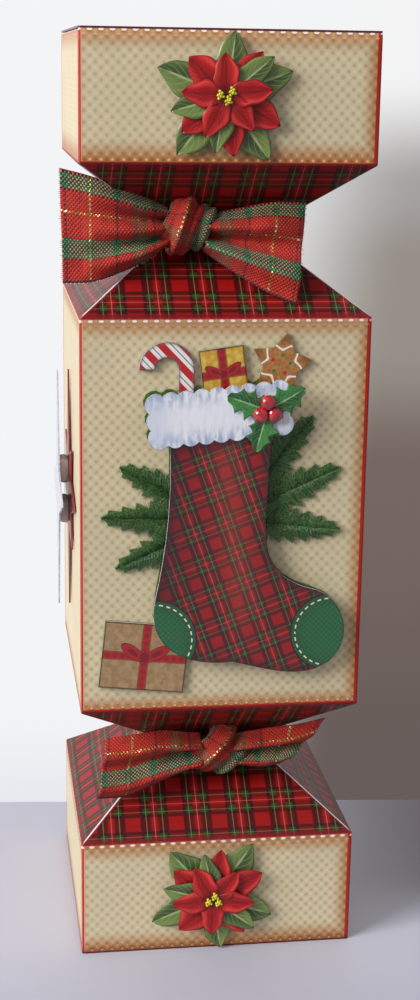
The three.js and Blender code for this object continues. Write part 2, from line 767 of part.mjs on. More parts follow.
// Two long-pointed stars, the outer one on foam pads: eight tips behind and four in front.
function addStarTopper() {
  const place = (name, geometry, depth, material, lift = 0) => {
    const mesh = add(name, onFront(geometry, depth), material);
    mesh.rotation.z = -Math.PI / 2;
    mesh.position.set(0, starShift, faceMiddle - starDrop + lift);
  };
  const [tall, wide] = [starHeight / 2, starWidth / 2];
  const slant = 0.75 * wide;
  const backing = starShape([tall, slant, wide, slant, tall, slant, wide, slant], starWaist);
  const star = starShape([tall, 0.8 * wide, tall, 0.8 * wide], 0.7 * starWaist);
  const padLevel = 2 * glueGap + cardThickness;
  const pad = boxPad(starPad.width, starPad.height, foamThickness);
  place('side_star_backing', sheetOf(backing), glueGap, materials.tartan);
  place('side_star', sheetOf(star), padLevel + foamThickness + glueGap, materials.gold);
  place('side_upper_foam_pad', pad, padLevel, materials.foam, starPad.offset);
  place('side_lower_foam_pad', pad, padLevel, materials.foam, -starPad.offset);
}

// Contents

function addSnap() {
  const wall = neckHalf - cardThickness - fitGap;
  const total = upperNeckMiddle - lowerNeckMiddle + 2 * snapEndReach;
  const length = (total + snapOverlap) / 2;
  const strip = new THREE.BoxGeometry(snapWidth, cardThickness, length);
  const seam = wall - cardThickness - glueGap / 2;
  const apart = (cardThickness + glueGap) / 2;
  const lower = add('snap_lower_strip', strip, materials.kraft);
  lower.position.set(0, seam - apart, lowerNeckMiddle - snapEndReach + length / 2);
  const upper = add('snap_upper_strip', strip, materials.kraft);
  upper.position.set(0, seam + apart, upperNeckMiddle + snapEndReach - length / 2);

  const [x, y] = [snapWidth / 2 + fitGap, cardThickness + glueGap / 2 + fitGap];
  const [outerX, outerY] = [x + sleeveWall, y + sleeveWall];
  const sleeve = roundedOblong(-outerX, outerX, -outerY, outerY, sleeveWall);
  sleeve.holes.push(roundedOblong(-x, x, -y, y, sleeveWall / 2));
  const sleeveLength = snapOverlap + 2 * sleeveMargin;
  const sleeveFoot = (lowerNeckMiddle + upperNeckMiddle - sleeveLength) / 2;
  const paper = add('snap_paper_sleeve', sheetOf(sleeve, sleeveLength, 2), materials.flap);
  paper.position.set(0, seam, sleeveFoot);
}

// The gift lies in the lower funnel, forward of the snap, with the crown rolled on top of it.
function addFavours() {
  const funnel = neckHalf - cardThickness * Math.hypot(taperRun, taperHeight) / taperHeight;
  const rest = (giftSize.x / 2 + fitGap - funnel) * taperHeight / taperRun;
  const giftFoot = bodyBottom - taperHeight + rest;
  const forward = (giftSize.y - giftSize.x) / 2;
  const gift = new THREE.BoxGeometry(giftSize.x, giftSize.y, giftSize.z);
  add('wrapped_gift', gift, materials.gold).position.set(0, forward, giftFoot + giftSize.z / 2);

  const bore = mottoRadius + fitGap;
  const corners = [[bore, 0], [crownRadius, 0], [crownRadius, crownLength], [bore, crownLength]];
  const profile = [...corners, corners[0]].map(([x, y]) => new THREE.Vector2(x, y));
  const rollHeight = giftFoot + giftSize.z + fitGap + crownRadius;
  const crown = add('paper_crown', closed(new THREE.LatheGeometry(profile, 20)), materials.tissue);
  crown.rotation.z = Math.PI / 2;
  crown.position.set(crownLength / 2, forward, rollHeight);

  const slip = new THREE.CylinderGeometry(mottoRadius, mottoRadius, mottoLength, 12);
  const motto = add('motto_slip', slip, materials.flap);
  motto.rotation.z = Math.PI / 2;
  motto.position.set(0, forward, rollHeight);
}

addPanels();
addLids();
addDustFlaps();
addRibbons();
addPoinsettia('top', topBlockBottom + blockHeight / 2 + flowerOffset, false);
addPoinsettia('bottom', blockHeight / 2 - flowerOffset, true);
addStockingTopper();
addStarTopper();
addSnap();
addFavours();

export default cracker;
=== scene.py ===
# A Christmas cracker gift box: printed card walls pinched at two necks, woven tartan ribbons,
# die-cut flowers, a layered stocking topper and the favours inside.
import math
import random

import bmesh
import bpy
from mathutils import Matrix, Vector


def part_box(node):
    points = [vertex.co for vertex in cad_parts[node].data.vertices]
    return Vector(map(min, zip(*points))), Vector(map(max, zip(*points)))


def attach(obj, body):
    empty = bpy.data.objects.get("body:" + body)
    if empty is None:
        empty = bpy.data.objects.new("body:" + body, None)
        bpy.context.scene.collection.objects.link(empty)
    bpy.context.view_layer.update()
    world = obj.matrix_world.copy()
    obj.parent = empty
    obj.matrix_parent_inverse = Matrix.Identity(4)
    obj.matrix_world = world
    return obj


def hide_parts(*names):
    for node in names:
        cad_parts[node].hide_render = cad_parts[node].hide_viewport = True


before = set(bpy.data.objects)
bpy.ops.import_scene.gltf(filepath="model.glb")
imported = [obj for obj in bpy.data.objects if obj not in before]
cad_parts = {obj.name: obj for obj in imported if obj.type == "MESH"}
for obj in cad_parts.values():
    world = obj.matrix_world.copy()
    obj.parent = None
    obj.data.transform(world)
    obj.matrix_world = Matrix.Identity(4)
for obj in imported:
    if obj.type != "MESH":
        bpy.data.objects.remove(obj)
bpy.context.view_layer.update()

# Millimetres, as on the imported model
MM = 0.001
BOX_HALF = 32.5
BLOCK = 28.2
TAPER = 14.0
NECK = 5.0
BODY = 91.4
NECK_HALF = 13.5
CARD = 0.4
LID_SEAT = 0.7
LID_GAP = 0.45
TAPER_RUN = BOX_HALF - NECK_HALF
SLANT = math.hypot(TAPER, TAPER_RUN)
BODY_FOOT = BLOCK + 2 * TAPER + NECK
BODY_RIM = BODY_FOOT + BODY
TOP_FOOT = BODY_RIM + 2 * TAPER + NECK
BOX_TOP = TOP_FOOT + BLOCK
LOWER_NECK = BLOCK + TAPER + NECK / 2
UPPER_NECK = BODY_RIM + TAPER + NECK / 2
FACE_MIDDLE = BODY_FOOT + BODY / 2
RIBBON = 25.0


# Materials

def ink(code):
    """A printer's colour such as c7b893, as the linear colour that Blender mixes."""
    shares = [int(code[i:i + 2], 16) / 255 for i in (0, 2, 4)]
    return tuple(s / 12.92 if s < 0.04045 else ((s + 0.055) / 1.055) ** 2.4 for s in shares) + (1,)


class Wire:
    """A socket in a material, so that sums on it read as ordinary arithmetic."""

    def __init__(self, finish, socket):
        self.finish = finish
        self.socket = socket

    def sum(self, operation, *values):
        return self.finish.node("Math", {"operation": operation}, dict(enumerate(values)))

    def __add__(self, other):
        return self.sum("ADD", self, other)

    __radd__ = __add__

    def __sub__(self, other):
        return self.sum("SUBTRACT", self, other)

    def __rsub__(self, other):
        return self.sum("SUBTRACT", other, self)

    def __mul__(self, other):
        return self.sum("MULTIPLY", self, other)

    __rmul__ = __mul__

    def __truediv__(self, other):
        return self.sum("DIVIDE", self, other)

    def __rtruediv__(self, other):
        return self.sum("DIVIDE", other, self)

    def __mod__(self, other):
        return self.sum("FLOORED_MODULO", self, other)

    def __pow__(self, other):
        return self.sum("POWER", self, other)

    def __abs__(self):
        return self.sum("ABSOLUTE", self)

    def least(self, other):
        return self.sum("MINIMUM", self, other)

    def most(self, other):
        return self.sum("MAXIMUM", self, other)

    def wave(self, length):
        return self.sum("COSINE", self * (2 * math.pi / length))

    def sine(self):
        return self.sum("SINE", self)

    def distance(self, other):
        return (self * self + other * other) ** 0.5


class Finish:
    """One procedural material, made node by node."""

    def __init__(self, name):
        self.material = bpy.data.materials.new(name)
        self.material.use_nodes = True
        self.tree = self.material.node_tree
        self.tree.nodes.clear()

    def node(self, kind, settings=None, inputs=None, output=0):
        made = self.tree.nodes.new("ShaderNode" + kind)
        for name, value in (settings or {}).items():
            if name == "stops":
                self.set_stops(made.color_ramp, value)
            else:
                setattr(made, name, value)
        for name, value in (inputs or {}).items():
            self.feed(made.inputs[name], value)
        return None if output is None else Wire(self, made.outputs[output])

    def feed(self, socket, value):
        if isinstance(value, Wire):
            self.tree.links.new(value.socket, socket)
        else:
            socket.default_value = ink(value) if isinstance(value, str) else value

    @staticmethod
    def set_stops(ramp, stops):
        ramp.interpolation = "CONSTANT"
        while len(ramp.elements) < len(stops):
            ramp.elements.new(1.0)
        for element, (place, colour) in zip(ramp.elements, stops):
            element.position = place
            element.color = colour

    def axes(self, vector):
        split = self.node("SeparateXYZ", inputs={0: vector})
        outputs = split.socket.node.outputs
        return [Wire(self, outputs[i]) for i in range(3)]

    def scaled(self, vector, factor):
        return self.node("VectorMath", {"operation": "SCALE"}, {0: vector, "Scale": factor})

    def place(self):
        """The point on the piece, in millimetres in the cracker's own frame."""
        return self.scaled(self.node("TexCoord", output="Object"), 1 / MM)

    def flat(self, name):
        """The point on the piece's own flat pattern, in millimetres."""
        return self.node("UVMap", {"uv_map": name})

    def noise(self, vector, size, detail=2.0, stretch=(1, 1, 1)):
        spread = self.node("VectorMath", {"operation": "MULTIPLY"}, {0: vector, 1: stretch})
        return self.node("TexNoise", inputs={"Vector": spread, "Scale": 1 / size, "Detail": detail})

    def patches(self, size, detail, low, high, stretch=(1, 1, 1)):
        """Soft-edged patches scattered over the piece, between 0 and 1."""
        return self.step(self.noise(self.place(), size, detail, stretch), low, high)

    def step(self, value, low, high):
        """0 below low and 1 above high, eased between; the other way round if low is the larger."""
        return self.node(
            "MapRange", {"interpolation_type": "SMOOTHSTEP"},
            {"Value": value, "From Min": low, "From Max": high},
        )

    def band(self, value, middle, width, soft=0.05):
        """1 inside a stripe and 0 outside it."""
        return self.step(abs(value - middle), width / 2 + soft, width / 2 - soft)

    def disc(self, x, y, middle, radius, soft=0.1):
        return self.step((x - middle[0]).distance(y - middle[1]), radius + soft, radius - soft)

    def mix(self, share, first, second, blend="MIX"):
        return self.node(
            "Mix", {"data_type": "RGBA", "blend_type": blend}, {0: share, 6: first, 7: second}, 2)

    def stripes(self, value, period, stops):
        """A repeat of stripes: each stop is (where it starts, colour code)."""
        shares = [(start / period, ink(code)) for start, code in stops]
        return self.node("ValToRGB", {"stops": shares}, {0: (value % period) / period})

    def seen(self):
        """1 where the eye, gloss or clear film looks straight at the surface."""
        rays = self.node("LightPath").socket.node.outputs
        eye, gloss, film = (Wire(self, rays[f"Is {kind} Ray"])
                            for kind in ("Camera", "Glossy", "Transmission"))
        return eye.most(gloss).most(film)

    def bump(self, height, depth):
        return self.node("Bump", inputs={"Strength": 1.0, "Distance": depth * MM, "Height": height})

    def shade(self, colour, roughness=0.5, **inputs):
        """Ends the material in one shader; further inputs are named with _ for a space."""
        values = {"Base Color": colour, "Roughness": roughness}
        values.update({name.replace("_", " "): value for name, value in inputs.items()})
        shader = self.node("BsdfPrincipled", inputs=values)
        self.node("OutputMaterial", inputs={"Surface": shader}, output=None)
        return self.material


# Printed card

TARTAN_STEP = 10.4
PEARL_STEP = 65 / 27
DOT_ROWS = 2.5
PAPER_WHITE = "f3f1f2"
CORE = "e6e2e8"


def tartan_colour(f, x, y, step=TARTAN_STEP):
    """Tartan as printed: a red ground, dark bands and lines both ways, green where bands cross."""
    ways = []
    half = TARTAN_STEP / 2
    for along in (x, y):
        reach = abs((along * (TARTAN_STEP / step) + half) % TARTAN_STEP - half)
        band = f.band(reach, 1.85, 1.75, 0.14)
        line = f.band(reach, 3.0, 0.75, 0.18).most(f.band(reach, 0.8, 0.3, 0.12) * 0.6)
        pink, pale = f.band(reach, 0, 0.2, 0.08), f.band(reach, 1.95, 0.18, 0.08)
        ways.append((band, line, pink, pale))
    across, up = ways
    colour = f.mix((across[0] * 0.74).most(up[0] * 0.5), "9e0c0b", "1a0504")
    colour = f.mix(across[0] * up[0], colour, "214414")
    colour = f.mix((across[1] * 0.8).most(up[1] * 0.75), colour, "0b060c")
    for way, strength in ((up, 0.34), (across, 0.5)):
        colour = f.mix(way[2] * strength, colour, "e58070")
        colour = f.mix(way[3] * strength * 0.9, colour, "93a468")
    twill = f.step((x + y).wave(0.5), -0.4, 0.6)
    return f.mix(twill * 0.12, colour, "1a0808")


def pearl_row(f, x, level, y, width, height, shift=0.0):
    """A row of oval dots at a level."""
    across = ((x / PEARL_STEP + shift) % 1.0 - 0.5) * (PEARL_STEP * 2 / width)
    up = (y - level) * (2 / height)
    return f.step(across.distance(up), 1.15, 0.75)


def honeycomb_print(f, x, y, low, high, shade, band):
    """A cream face between two levels: dots in a net, rust shading, red edges with a painted shade
    along the right one, pearls on top.
    """
    dots = x.wave(PEARL_STEP) * y.wave(DOT_ROWS)
    uneven = f.noise(f.place(), 1.1, 2)
    spots = f.step(dots + uneven * 0.5, 0.35, 1.15)
    field = f.mix(spots * 0.6, "dccba5", "b1a079")
    field = f.mix(f.step(dots, -0.2, -0.9) * 0.45, field, "eadfc4")
    blotch = f.patches(9, 3, 0.35, 0.7)
    field = f.mix(blotch * 0.25, field, "c5ba98")
    right, left = BOX_HALF - x, BOX_HALF + x
    rust = f.step(y, low + shade + 1.4, low + 0.5).most(f.step(y, high - 5.4, high - 0.8) * 0.85)
    rust = rust.most(f.step(right, 4.8, 0.6) * 0.9).most(f.step(left, 2.6, 0.3) * 0.3)
    warm = f.mix(spots * 0.7, "b87a42", "945226")
    warm = f.mix(f.step(dots, -0.3, -0.9) * 0.6, warm, "d6a06c")
    field = f.mix(rust, field, warm)
    glow = f.step(left, 0.95, 0.6)
    field = f.mix(glow * 0.6, field, "e8a183")
    peach = pearl_row(f, x, low + band + 0.35, y, 0.66, 0.5)
    peach = peach.most(pearl_row(f, x, low + band + 1.35, y, 0.5, 0.36, 0.5) * 0.6)
    field = f.mix(peach, field, "eeb890")
    red = f.step(y, low + band, low + band - 0.15).most(f.step(y, high - 0.3, high - 0.2))
    red = red.most(f.step(left, 0.6, 0.48)).most(f.step(right, 1.1, 0.95))
    # Red edges in print, deeper red low in the bottom band; the darker strip at the right edge is
    # painted shade where the card turns round the corner.
    field = f.mix(red, field, f.mix(
        (f.step(right, 0.5, 0.2) * 0.6).most(f.step(y, low + band * 0.75, low + band * 0.3)),
        "b42212", "6a0d10"))
    row = pearl_row(f, x, high - 0.6, y, 1.2, 0.62)
    row = row.most(pearl_row(f, x, high - 1.55, y, 0.9, 0.42, 0.5) * 0.22)
    return f.mix(row, field, "fbeee6")


def printed_card():
    """The wall's printed side, on its flat pattern: x across and y up the unfolded strip."""
    f = Finish("printed cream and tartan card")
    x, y, _ = f.axes(f.flat("print"))
    taper_one = BLOCK + 2 * SLANT + NECK
    body_top = taper_one + BODY
    top_block = body_top + 2 * SLANT + NECK
    lower_print = f.step(y, taper_one + BODY / 2 + 1, taper_one + BODY / 2 - 1)
    colour = tartan_colour(f, x + 4.4, y - body_top - 5.05 + lower_print * 3.5)
    faces = [(0, BLOCK, 4.6, 0.45), (taper_one, body_top, 3.6, 1.0),
             (top_block, top_block + BLOCK, 4.6, 0.6)]
    for low, high, shade, band in faces:
        face = honeycomb_print(f, x, y, low, high, shade, band)
        inside = f.step(y, low - 0.04, low + 0.04) * f.step(y, high + 0.04, high - 0.04)
        colour = f.mix(inside, colour, face)
    for low, high in [(BLOCK, BLOCK + 1.3), (taper_one - 0.9, taper_one),
                      (body_top, body_top + 1.5), (top_block - 0.9, top_block)]:
        seam = f.step(y, low - 0.1, low) * f.step(y, high, high - 0.5)
        colour = f.mix(seam * 0.75, colour, "74101a")
    reach = 2 * BOX_HALF
    for neck in (BLOCK + SLANT + NECK / 2, body_top + SLANT + NECK / 2):
        beyond = (abs(y - neck) - NECK / 2).most(0.0)
        reach = (NECK_HALF + beyond * (TAPER_RUN / SLANT)).least(reach)
    sloped = f.step(reach, BOX_HALF - 0.1, BOX_HALF - 1.2)
    trim = f.step(reach - abs(x), 0.22, 0.12) * sloped
    colour = f.mix(trim, colour, CORE)
    colour = f.mix(f.band(reach - abs(x), 0.45, 0.4) * sloped * 0.8, colour, "7a1614")
    creases = [BLOCK, BLOCK + SLANT, taper_one - SLANT, taper_one,
               body_top, body_top + SLANT, top_block - SLANT, top_block]
    worn = sum((f.band(y, level, 0.16, 0.08) for level in creases[1:]),
               f.band(y, creases[0], 0.16, 0.08))
    scuff = f.patches(1.3, 3, 0.56, 0.75)
    colour = f.mix(worn * scuff * 0.4, colour, "c08a80")
    grain = f.noise(f.place(), 0.35, 3)
    smudge = f.patches(22, 2, 0.35, 0.7)
    return f.shade(colour, 0.46 + smudge * 0.1, Coat_Weight=0.12, Coat_Roughness=0.2,
                   Specular_IOR_Level=0.3, Normal=f.bump(grain, 0.03))


def paper(name, code, roughness=0.75, speck="cfc8c4"):
    """Plain card or foam with a little fibre in it."""
    f = Finish(name)
    fibre = f.patches(0.9, 4, 0.45, 0.75, (1, 1, 2.5))
    colour = f.mix(fibre * 0.35, code, speck)
    return f.shade(colour, roughness, Normal=f.bump(f.noise(f.place(), 0.3, 3), 0.05))


# Woven ribbon

WEFT_STEP = 20.0
WARP = [
    (0, "a81c12"), (1.5, "16120f"), (1.8, "0f6b42"), (2.7, "1d4a30"), (4.2, "0f6b42"),
    (5.0, "1a1014"), (5.3, "bf1f12"), (9.75, "8f6a24"), (10.15, "bf1f12"),
    (15.3, "1a1014"), (15.6, "12704a"), (16.6, "1f4c32"), (18.6, "12704a"), (19.6, "1a1014"),
    (19.9, "bf1f12"), (24.4, "5a3038"),
]
WEFT = [
    (0, "d0301c"), (0.7, "1a1220"), (1.2, "d0301c"), (6.3, "a88230"), (6.8, "d0301c"),
    (12.2, "1a1220"), (12.8, "d0301c"), (16.0, "4c6a3c"), (16.9, "84704c"), (18.4, "4c6a3c"),
    (19.2, "d0301c"),
]
WARP_THREAD = 0.5
WEFT_THREAD = 0.42


def woven_tartan():
    """Plain weave on the ribbon's flat pattern: x across its width, y from its cut end. The shade
    between the threads, the highlights on them and the glints on the gold thread are painted.
    """
    f = Finish("woven tartan ribbon with gold thread")
    x, y, _ = f.axes(f.flat("cloth"))
    slub = f.noise(f.flat("cloth"), 1.6, 2, (0.3, 1, 1)) * 0.5
    over = (x + slub).wave(2 * WARP_THREAD) * (y + slub).wave(2 * WEFT_THREAD)
    warp = f.stripes(x, 2 * RIBBON, WARP)
    weft = f.stripes(y, WEFT_STEP, WEFT)
    greens = f.band(x, 3.4, 3.2).most(f.band(x, 17.6, 4.0))
    pale = f.band(x, 3.4, 1.6).most(f.band(x, 17.6, 2.0))
    near = y % WEFT_STEP
    bars = f.band(near, 0.95, 1.5).most(f.band(near, 6.55, 1.5)).most(f.band(near, 12.5, 1.5))
    weft = f.mix(greens * (0.6 + pale * 0.15), weft, "c8b088")
    weft = f.mix(greens * bars * 0.8, weft, "2f9a5c")
    tone = f.noise(f.flat("cloth"), 3.0, 3)
    speck = f.noise(f.flat("cloth"), 0.55, 2)
    shown = f.step(over + greens * 0.25 + (speck - 0.5) * 0.8, -0.2, 0.15)
    colour = f.mix(shown, weft, warp)
    # Painted shade in the hollows between the threads.
    thread_gap_shade = f.step(abs(over), 0.4, 0.02)
    colour = f.mix(thread_gap_shade * 0.62, colour, "1c0608")
    colour = f.mix(f.step(tone, 0.35, 0.75) * 0.4, colour, "5a0d0c", "MULTIPLY")
    # Painted highlight on the crowns of the weft threads, in random spots outside the green bands.
    crown = f.step(over, -0.55, -0.95) * (1 - greens) * f.step(speck, 0.4, 0.6)
    colour = f.mix(crown * 0.5, colour, "f0603c")
    gold_line = f.band(x, 9.95, 0.45).most(f.band(near, 6.55, 0.45) * 0.85)
    gold_line = gold_line * f.step(x, 24.4, 24.2)
    twist = f.step((x + y).wave(1.1), -0.5, 0.2)
    gold = gold_line * twist
    # Painted glints on the gold thread: pale gold in random spots.
    painted_glint = f.step(f.noise(f.flat("cloth"), 0.8, 1), 0.5, 0.6)
    colour = f.mix(gold, colour, f.mix(painted_glint, "a87a26", "fff3c4"))
    colour = f.mix(f.step(x, 24.45, 24.6) * 0.7, colour, "4a1014")
    colour = f.mix(f.step(x, 0.4, 0.25) * 0.8, colour, "1f1214")
    return f.shade(colour, 0.74 - gold * 0.5, Metallic=gold * 0.9, Sheen_Weight=0.06,
                   Sheen_Roughness=0.4, Normal=f.bump(over * 0.5 + tone * 0.6, 0.16))


# Meshes

def add_piece(name, mesh, materials, smooth=True):
    for material in materials:
        mesh.materials.append(material)
    mesh.polygons.foreach_set("use_smooth", [smooth] * len(mesh.polygons))
    piece = bpy.data.objects.new(name, mesh)
    bpy.context.scene.collection.objects.link(piece)
    return piece


def on_shell(piece, slot, *nodes):
    """Fixes a piece to the box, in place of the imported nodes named."""
    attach(piece, "shell")
    if nodes:
        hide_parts(*nodes)
    return piece


def put(name, points, faces, materials, flat=None, flat_name="print", smooth=True):
    """A mesh from points in millimetres; flat gives each point's place on the flat pattern."""
    mesh = bpy.data.meshes.new(name)
    mesh.from_pydata([[c * MM for c in p] for p in points], [], faces)
    if flat:
        layer = mesh.uv_layers.new(name=flat_name)
        for loop in mesh.loops:
            layer.data[loop.index].uv = flat[loop.vertex_index]
    return add_piece(name, mesh, materials, smooth)


def grid_faces(rows, columns, start=0, loop=False):
    """Faces over rows of points; a looped grid joins its last row to its first."""
    faces = []
    for i in range(rows if loop else rows - 1):
        a, b = start + i * columns, start + (i + 1) % rows * columns
        for j in range(columns - 1):
            faces.append((a + j, a + j + 1, b + j + 1, b + j))
    return faces


def thicken(piece, thickness, offset=-1, inner=0, rim=None):
    wall = piece.modifiers.new("thickness", "SOLIDIFY")
    wall.thickness = thickness * MM
    wall.offset = offset
    wall.material_offset = inner
    wall.material_offset_rim = inner if rim is None else rim
    return piece


def strewing_tree(grain):
    """Sets a needle, or a grain, on each point of a mesh and turns it as the point says."""
    tree = bpy.data.node_groups.new("grains" if grain else "needles", "GeometryNodeTree")
    tree.is_modifier = True
    wanted = [("Geometry", "Geometry"), ("Length", "Float"), ("Thickness", "Float"),
              ("Unevenness", "Float"), ("Seed", "Int"), ("Finish", "Material")]
    for label, kind in wanted:
        tree.interface.new_socket(name=label, in_out="INPUT", socket_type="NodeSocket" + kind)
    tree.interface.new_socket(name="Geometry", in_out="OUTPUT", socket_type="NodeSocketGeometry")

    def node(kind, inputs=None, **settings):
        made = tree.nodes.new(kind)
        for name, value in settings.items():
            setattr(made, name, value)
        for name, value in (inputs or {}).items():
            if isinstance(value, bpy.types.NodeSocket):
                tree.links.new(value, made.inputs[name])
            else:
                made.inputs[name].default_value = value
        return made.outputs

    def product(a, b):
        return node("ShaderNodeMath", {0: a, 1: b}, operation="MULTIPLY")[0]

    given = node("NodeGroupInput")
    if grain:
        shape = node("GeometryNodeMeshIcoSphere", {"Radius": 0.5, "Subdivisions": 2})
    else:
        shape = node("GeometryNodeMeshCone", {"Vertices": 5, "Radius Top": 0.12,
                                              "Radius Bottom": 0.5, "Depth": 1.0})
    chance = node("FunctionNodeRandomValue", {2: 0.0, 3: 1.0, 8: given["Seed"]}, data_type="FLOAT")
    kept = node("ShaderNodeMath", {0: 1.0, 1: product(chance[1], given["Unevenness"])},
                operation="SUBTRACT")[0]
    share = node("GeometryNodeInputNamedAttribute", {"Name": "share"}, data_type="FLOAT")
    length = product(product(given["Length"], share["Attribute"]), kept)
    size = node("ShaderNodeCombineXYZ", {0: given["Thickness"], 1: given["Thickness"], 2: length})
    turn = node("GeometryNodeInputNamedAttribute", {"Name": "turn"}, data_type="FLOAT_VECTOR")
    turn = node("FunctionNodeEulerToRotation", {0: turn["Attribute"]})
    placed = node("GeometryNodeInstanceOnPoints", {
        "Points": given["Geometry"], "Instance": shape["Mesh"], "Rotation": turn[0],
        "Scale": size[0]})
    solid = node("GeometryNodeRealizeInstances", {"Geometry": placed["Instances"]})
    painted = node("GeometryNodeSetMaterial", {"Geometry": solid[0], "Material": given["Finish"]})
    node("NodeGroupOutput", {"Geometry": painted[0]})
    return tree


STREWN = {grain: strewing_tree(grain) for grain in (False, True)}


def strewn(name, spots, material, slot, length, thickness, unevenness=0.2, seed=3, grain=False):
    """Needles, threads or grains, each spot being (point, direction, share of the length)."""
    piece = put(name, [point for point, _, _ in spots], [], [material])
    piece.data.attributes.new("turn", "FLOAT_VECTOR", "POINT")
    piece.data.attributes.new("share", "FLOAT", "POINT")
    turns, shares = piece.data.attributes["turn"], piece.data.attributes["share"]
    for i, (_, way, share) in enumerate(spots):
        turns.data[i].vector = Vector(way).to_track_quat("Z", "Y").to_euler()
        shares.data[i].value = share
    repeat = piece.modifiers.new("repeat", "NODES")
    repeat.node_group = STREWN[grain]
    values = {"Length": length * MM, "Thickness": thickness * MM, "Unevenness": unevenness,
              "Seed": seed, "Finish": material}
    for socket in repeat.node_group.interface.items_tree:
        if socket.in_out == "INPUT" and socket.name in values:
            repeat[socket.identifier] = values[socket.name]
    graph = bpy.context.evaluated_depsgraph_get()
    mesh = bpy.data.meshes.new_from_object(piece.evaluated_get(graph), depsgraph=graph)
    piece.modifiers.clear()
    piece.data = mesh
    mesh.polygons.foreach_set("use_smooth", [True] * len(mesh.polygons))
    on_shell(piece, slot)


def turned(point, quarter):
    """A point of the front wall, turned to another wall."""
    x, y, z = point
    for _ in range(quarter):
        x, y = -y, x
    return x, y, z


# Card walls

CREASE_CUT = 0.33
FOLD_STEP = 2.4
CORNER_RADIUS = 0.5
TAPER_SLIT = 0.14
BLOCK_SLIT = 0.03
WALL_COLUMNS = 26
GLUE_TAB = 6.0
TAB_CLEARANCE = 0.2
TAB_SHY = 1.5
TAB_END = 3
# Each wall: its name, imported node, sag, bulge, print hand and print slip, as cut by hand
WALLS = [
    ("front_wall", "front_panel", 0.25, 0.0, 1, 0.0),
    ("right_wall", "right_panel", 0.2, 0.55, 1, -0.3),
    ("back_wall", "back_panel", 0.2, 0.0, 1, 0.2),
    ("left_wall", "left_panel", 0.2, 0.55, -1, -0.35),
]


def fold_path(foot, head):
    """The wall's outer fold line with rounded creases: (height, inset, height when unfolded)."""
    corners = [
        (foot, 0), (BLOCK, 0), (BLOCK + TAPER, TAPER_RUN), (BLOCK + TAPER + NECK, TAPER_RUN),
        (BODY_FOOT, 0), (BODY_RIM, 0), (BODY_RIM + TAPER, TAPER_RUN),
        (BODY_RIM + TAPER + NECK, TAPER_RUN), (TOP_FOOT, 0), (head, 0),
    ]
    path = [(*corners[0], corners[0][0])]
    unfolded = corners[0][0]
    for i, corner in enumerate(corners[1:], 1):
        before = Vector(corners[i - 1])
        here = Vector(corner)
        run = (here - before).length
        cut = CREASE_CUT
        straight = run - (cut if i > 1 else 0) - (cut if i < len(corners) - 1 else 0)
        steps = max(1, round(straight / FOLD_STEP))
        start = unfolded + (cut if i > 1 else 0)
        for k in range(steps + 1):
            share = (start - unfolded + straight * k / steps) / run
            z, d = before.lerp(here, share)
            if k or i > 1:
                path.append((z, d, unfolded + run * share))
        unfolded += run
        if i < len(corners) - 1:
            ahead = (Vector(corners[i + 1]) - here).normalized()
            behind = (here - before).normalized()
            for t in (0.25, 0.5, 0.75):
                bend = here + (ahead * t * t - behind * (1 - t) ** 2) * cut
                path.append((bend[0], bend[1], unfolded + cut * (2 * t - 1)))
    return path


def wall_row(z, d, level, sag, bulge):
    """One row of points across a wall, curling half way round the box's corner at each side."""
    reach = BOX_HALF - d
    sloped = min(1.0, d / 1.5)
    radius = CORNER_RADIUS
    slit = BLOCK_SLIT + (TAPER_SLIT - BLOCK_SLIT) * sloped
    turn = math.pi / 4
    columns = [(-turn + turn * k / 3) for k in range(3)]
    flat_half = reach - radius
    points, flat = [], []
    for angle in columns:
        points.append((-flat_half + radius * math.sin(angle),
                       -reach + radius * (1 - math.cos(angle))))
        flat.append(-flat_half + radius * angle)
    for k in range(WALL_COLUMNS + 1):
        x = flat_half * (2 * k / WALL_COLUMNS - 1)
        share = 1 - (x / reach) ** 2
        points.append((x, -reach + sag * share - bulge * share * sloped))
        flat.append(x)
    for angle in reversed(columns):
        points.append((flat_half - radius * math.sin(angle),
                       -reach + radius * (1 - math.cos(angle))))
        flat.append(flat_half - radius * angle)
    edge = slit / 2 * math.sqrt(0.5)
    points[0] = (points[0][0] + edge, points[0][1] - edge)
    points[-1] = (points[-1][0] - edge, points[-1][1] - edge)
    return [(x, y, z) for x, y in points], [(x, level) for x in flat]


def glue_tab(low, high):
    """A tab bent back from the wall's right edge, lying inside the next wall."""
    x = BOX_HALF - CARD - TAB_CLEARANCE
    back = -BOX_HALF + CARD
    rows = []
    for share in (0, 0.25, 0.5, 0.75, 1):
        y = back + GLUE_TAB * share
        trim = GLUE_TAB / 2 * share
        rows.append([(x, y, low + trim + (high - low - 2 * trim) * k / 4) for k in range(5)])
    return [point for row in rows for point in row], grid_faces(5, 5)


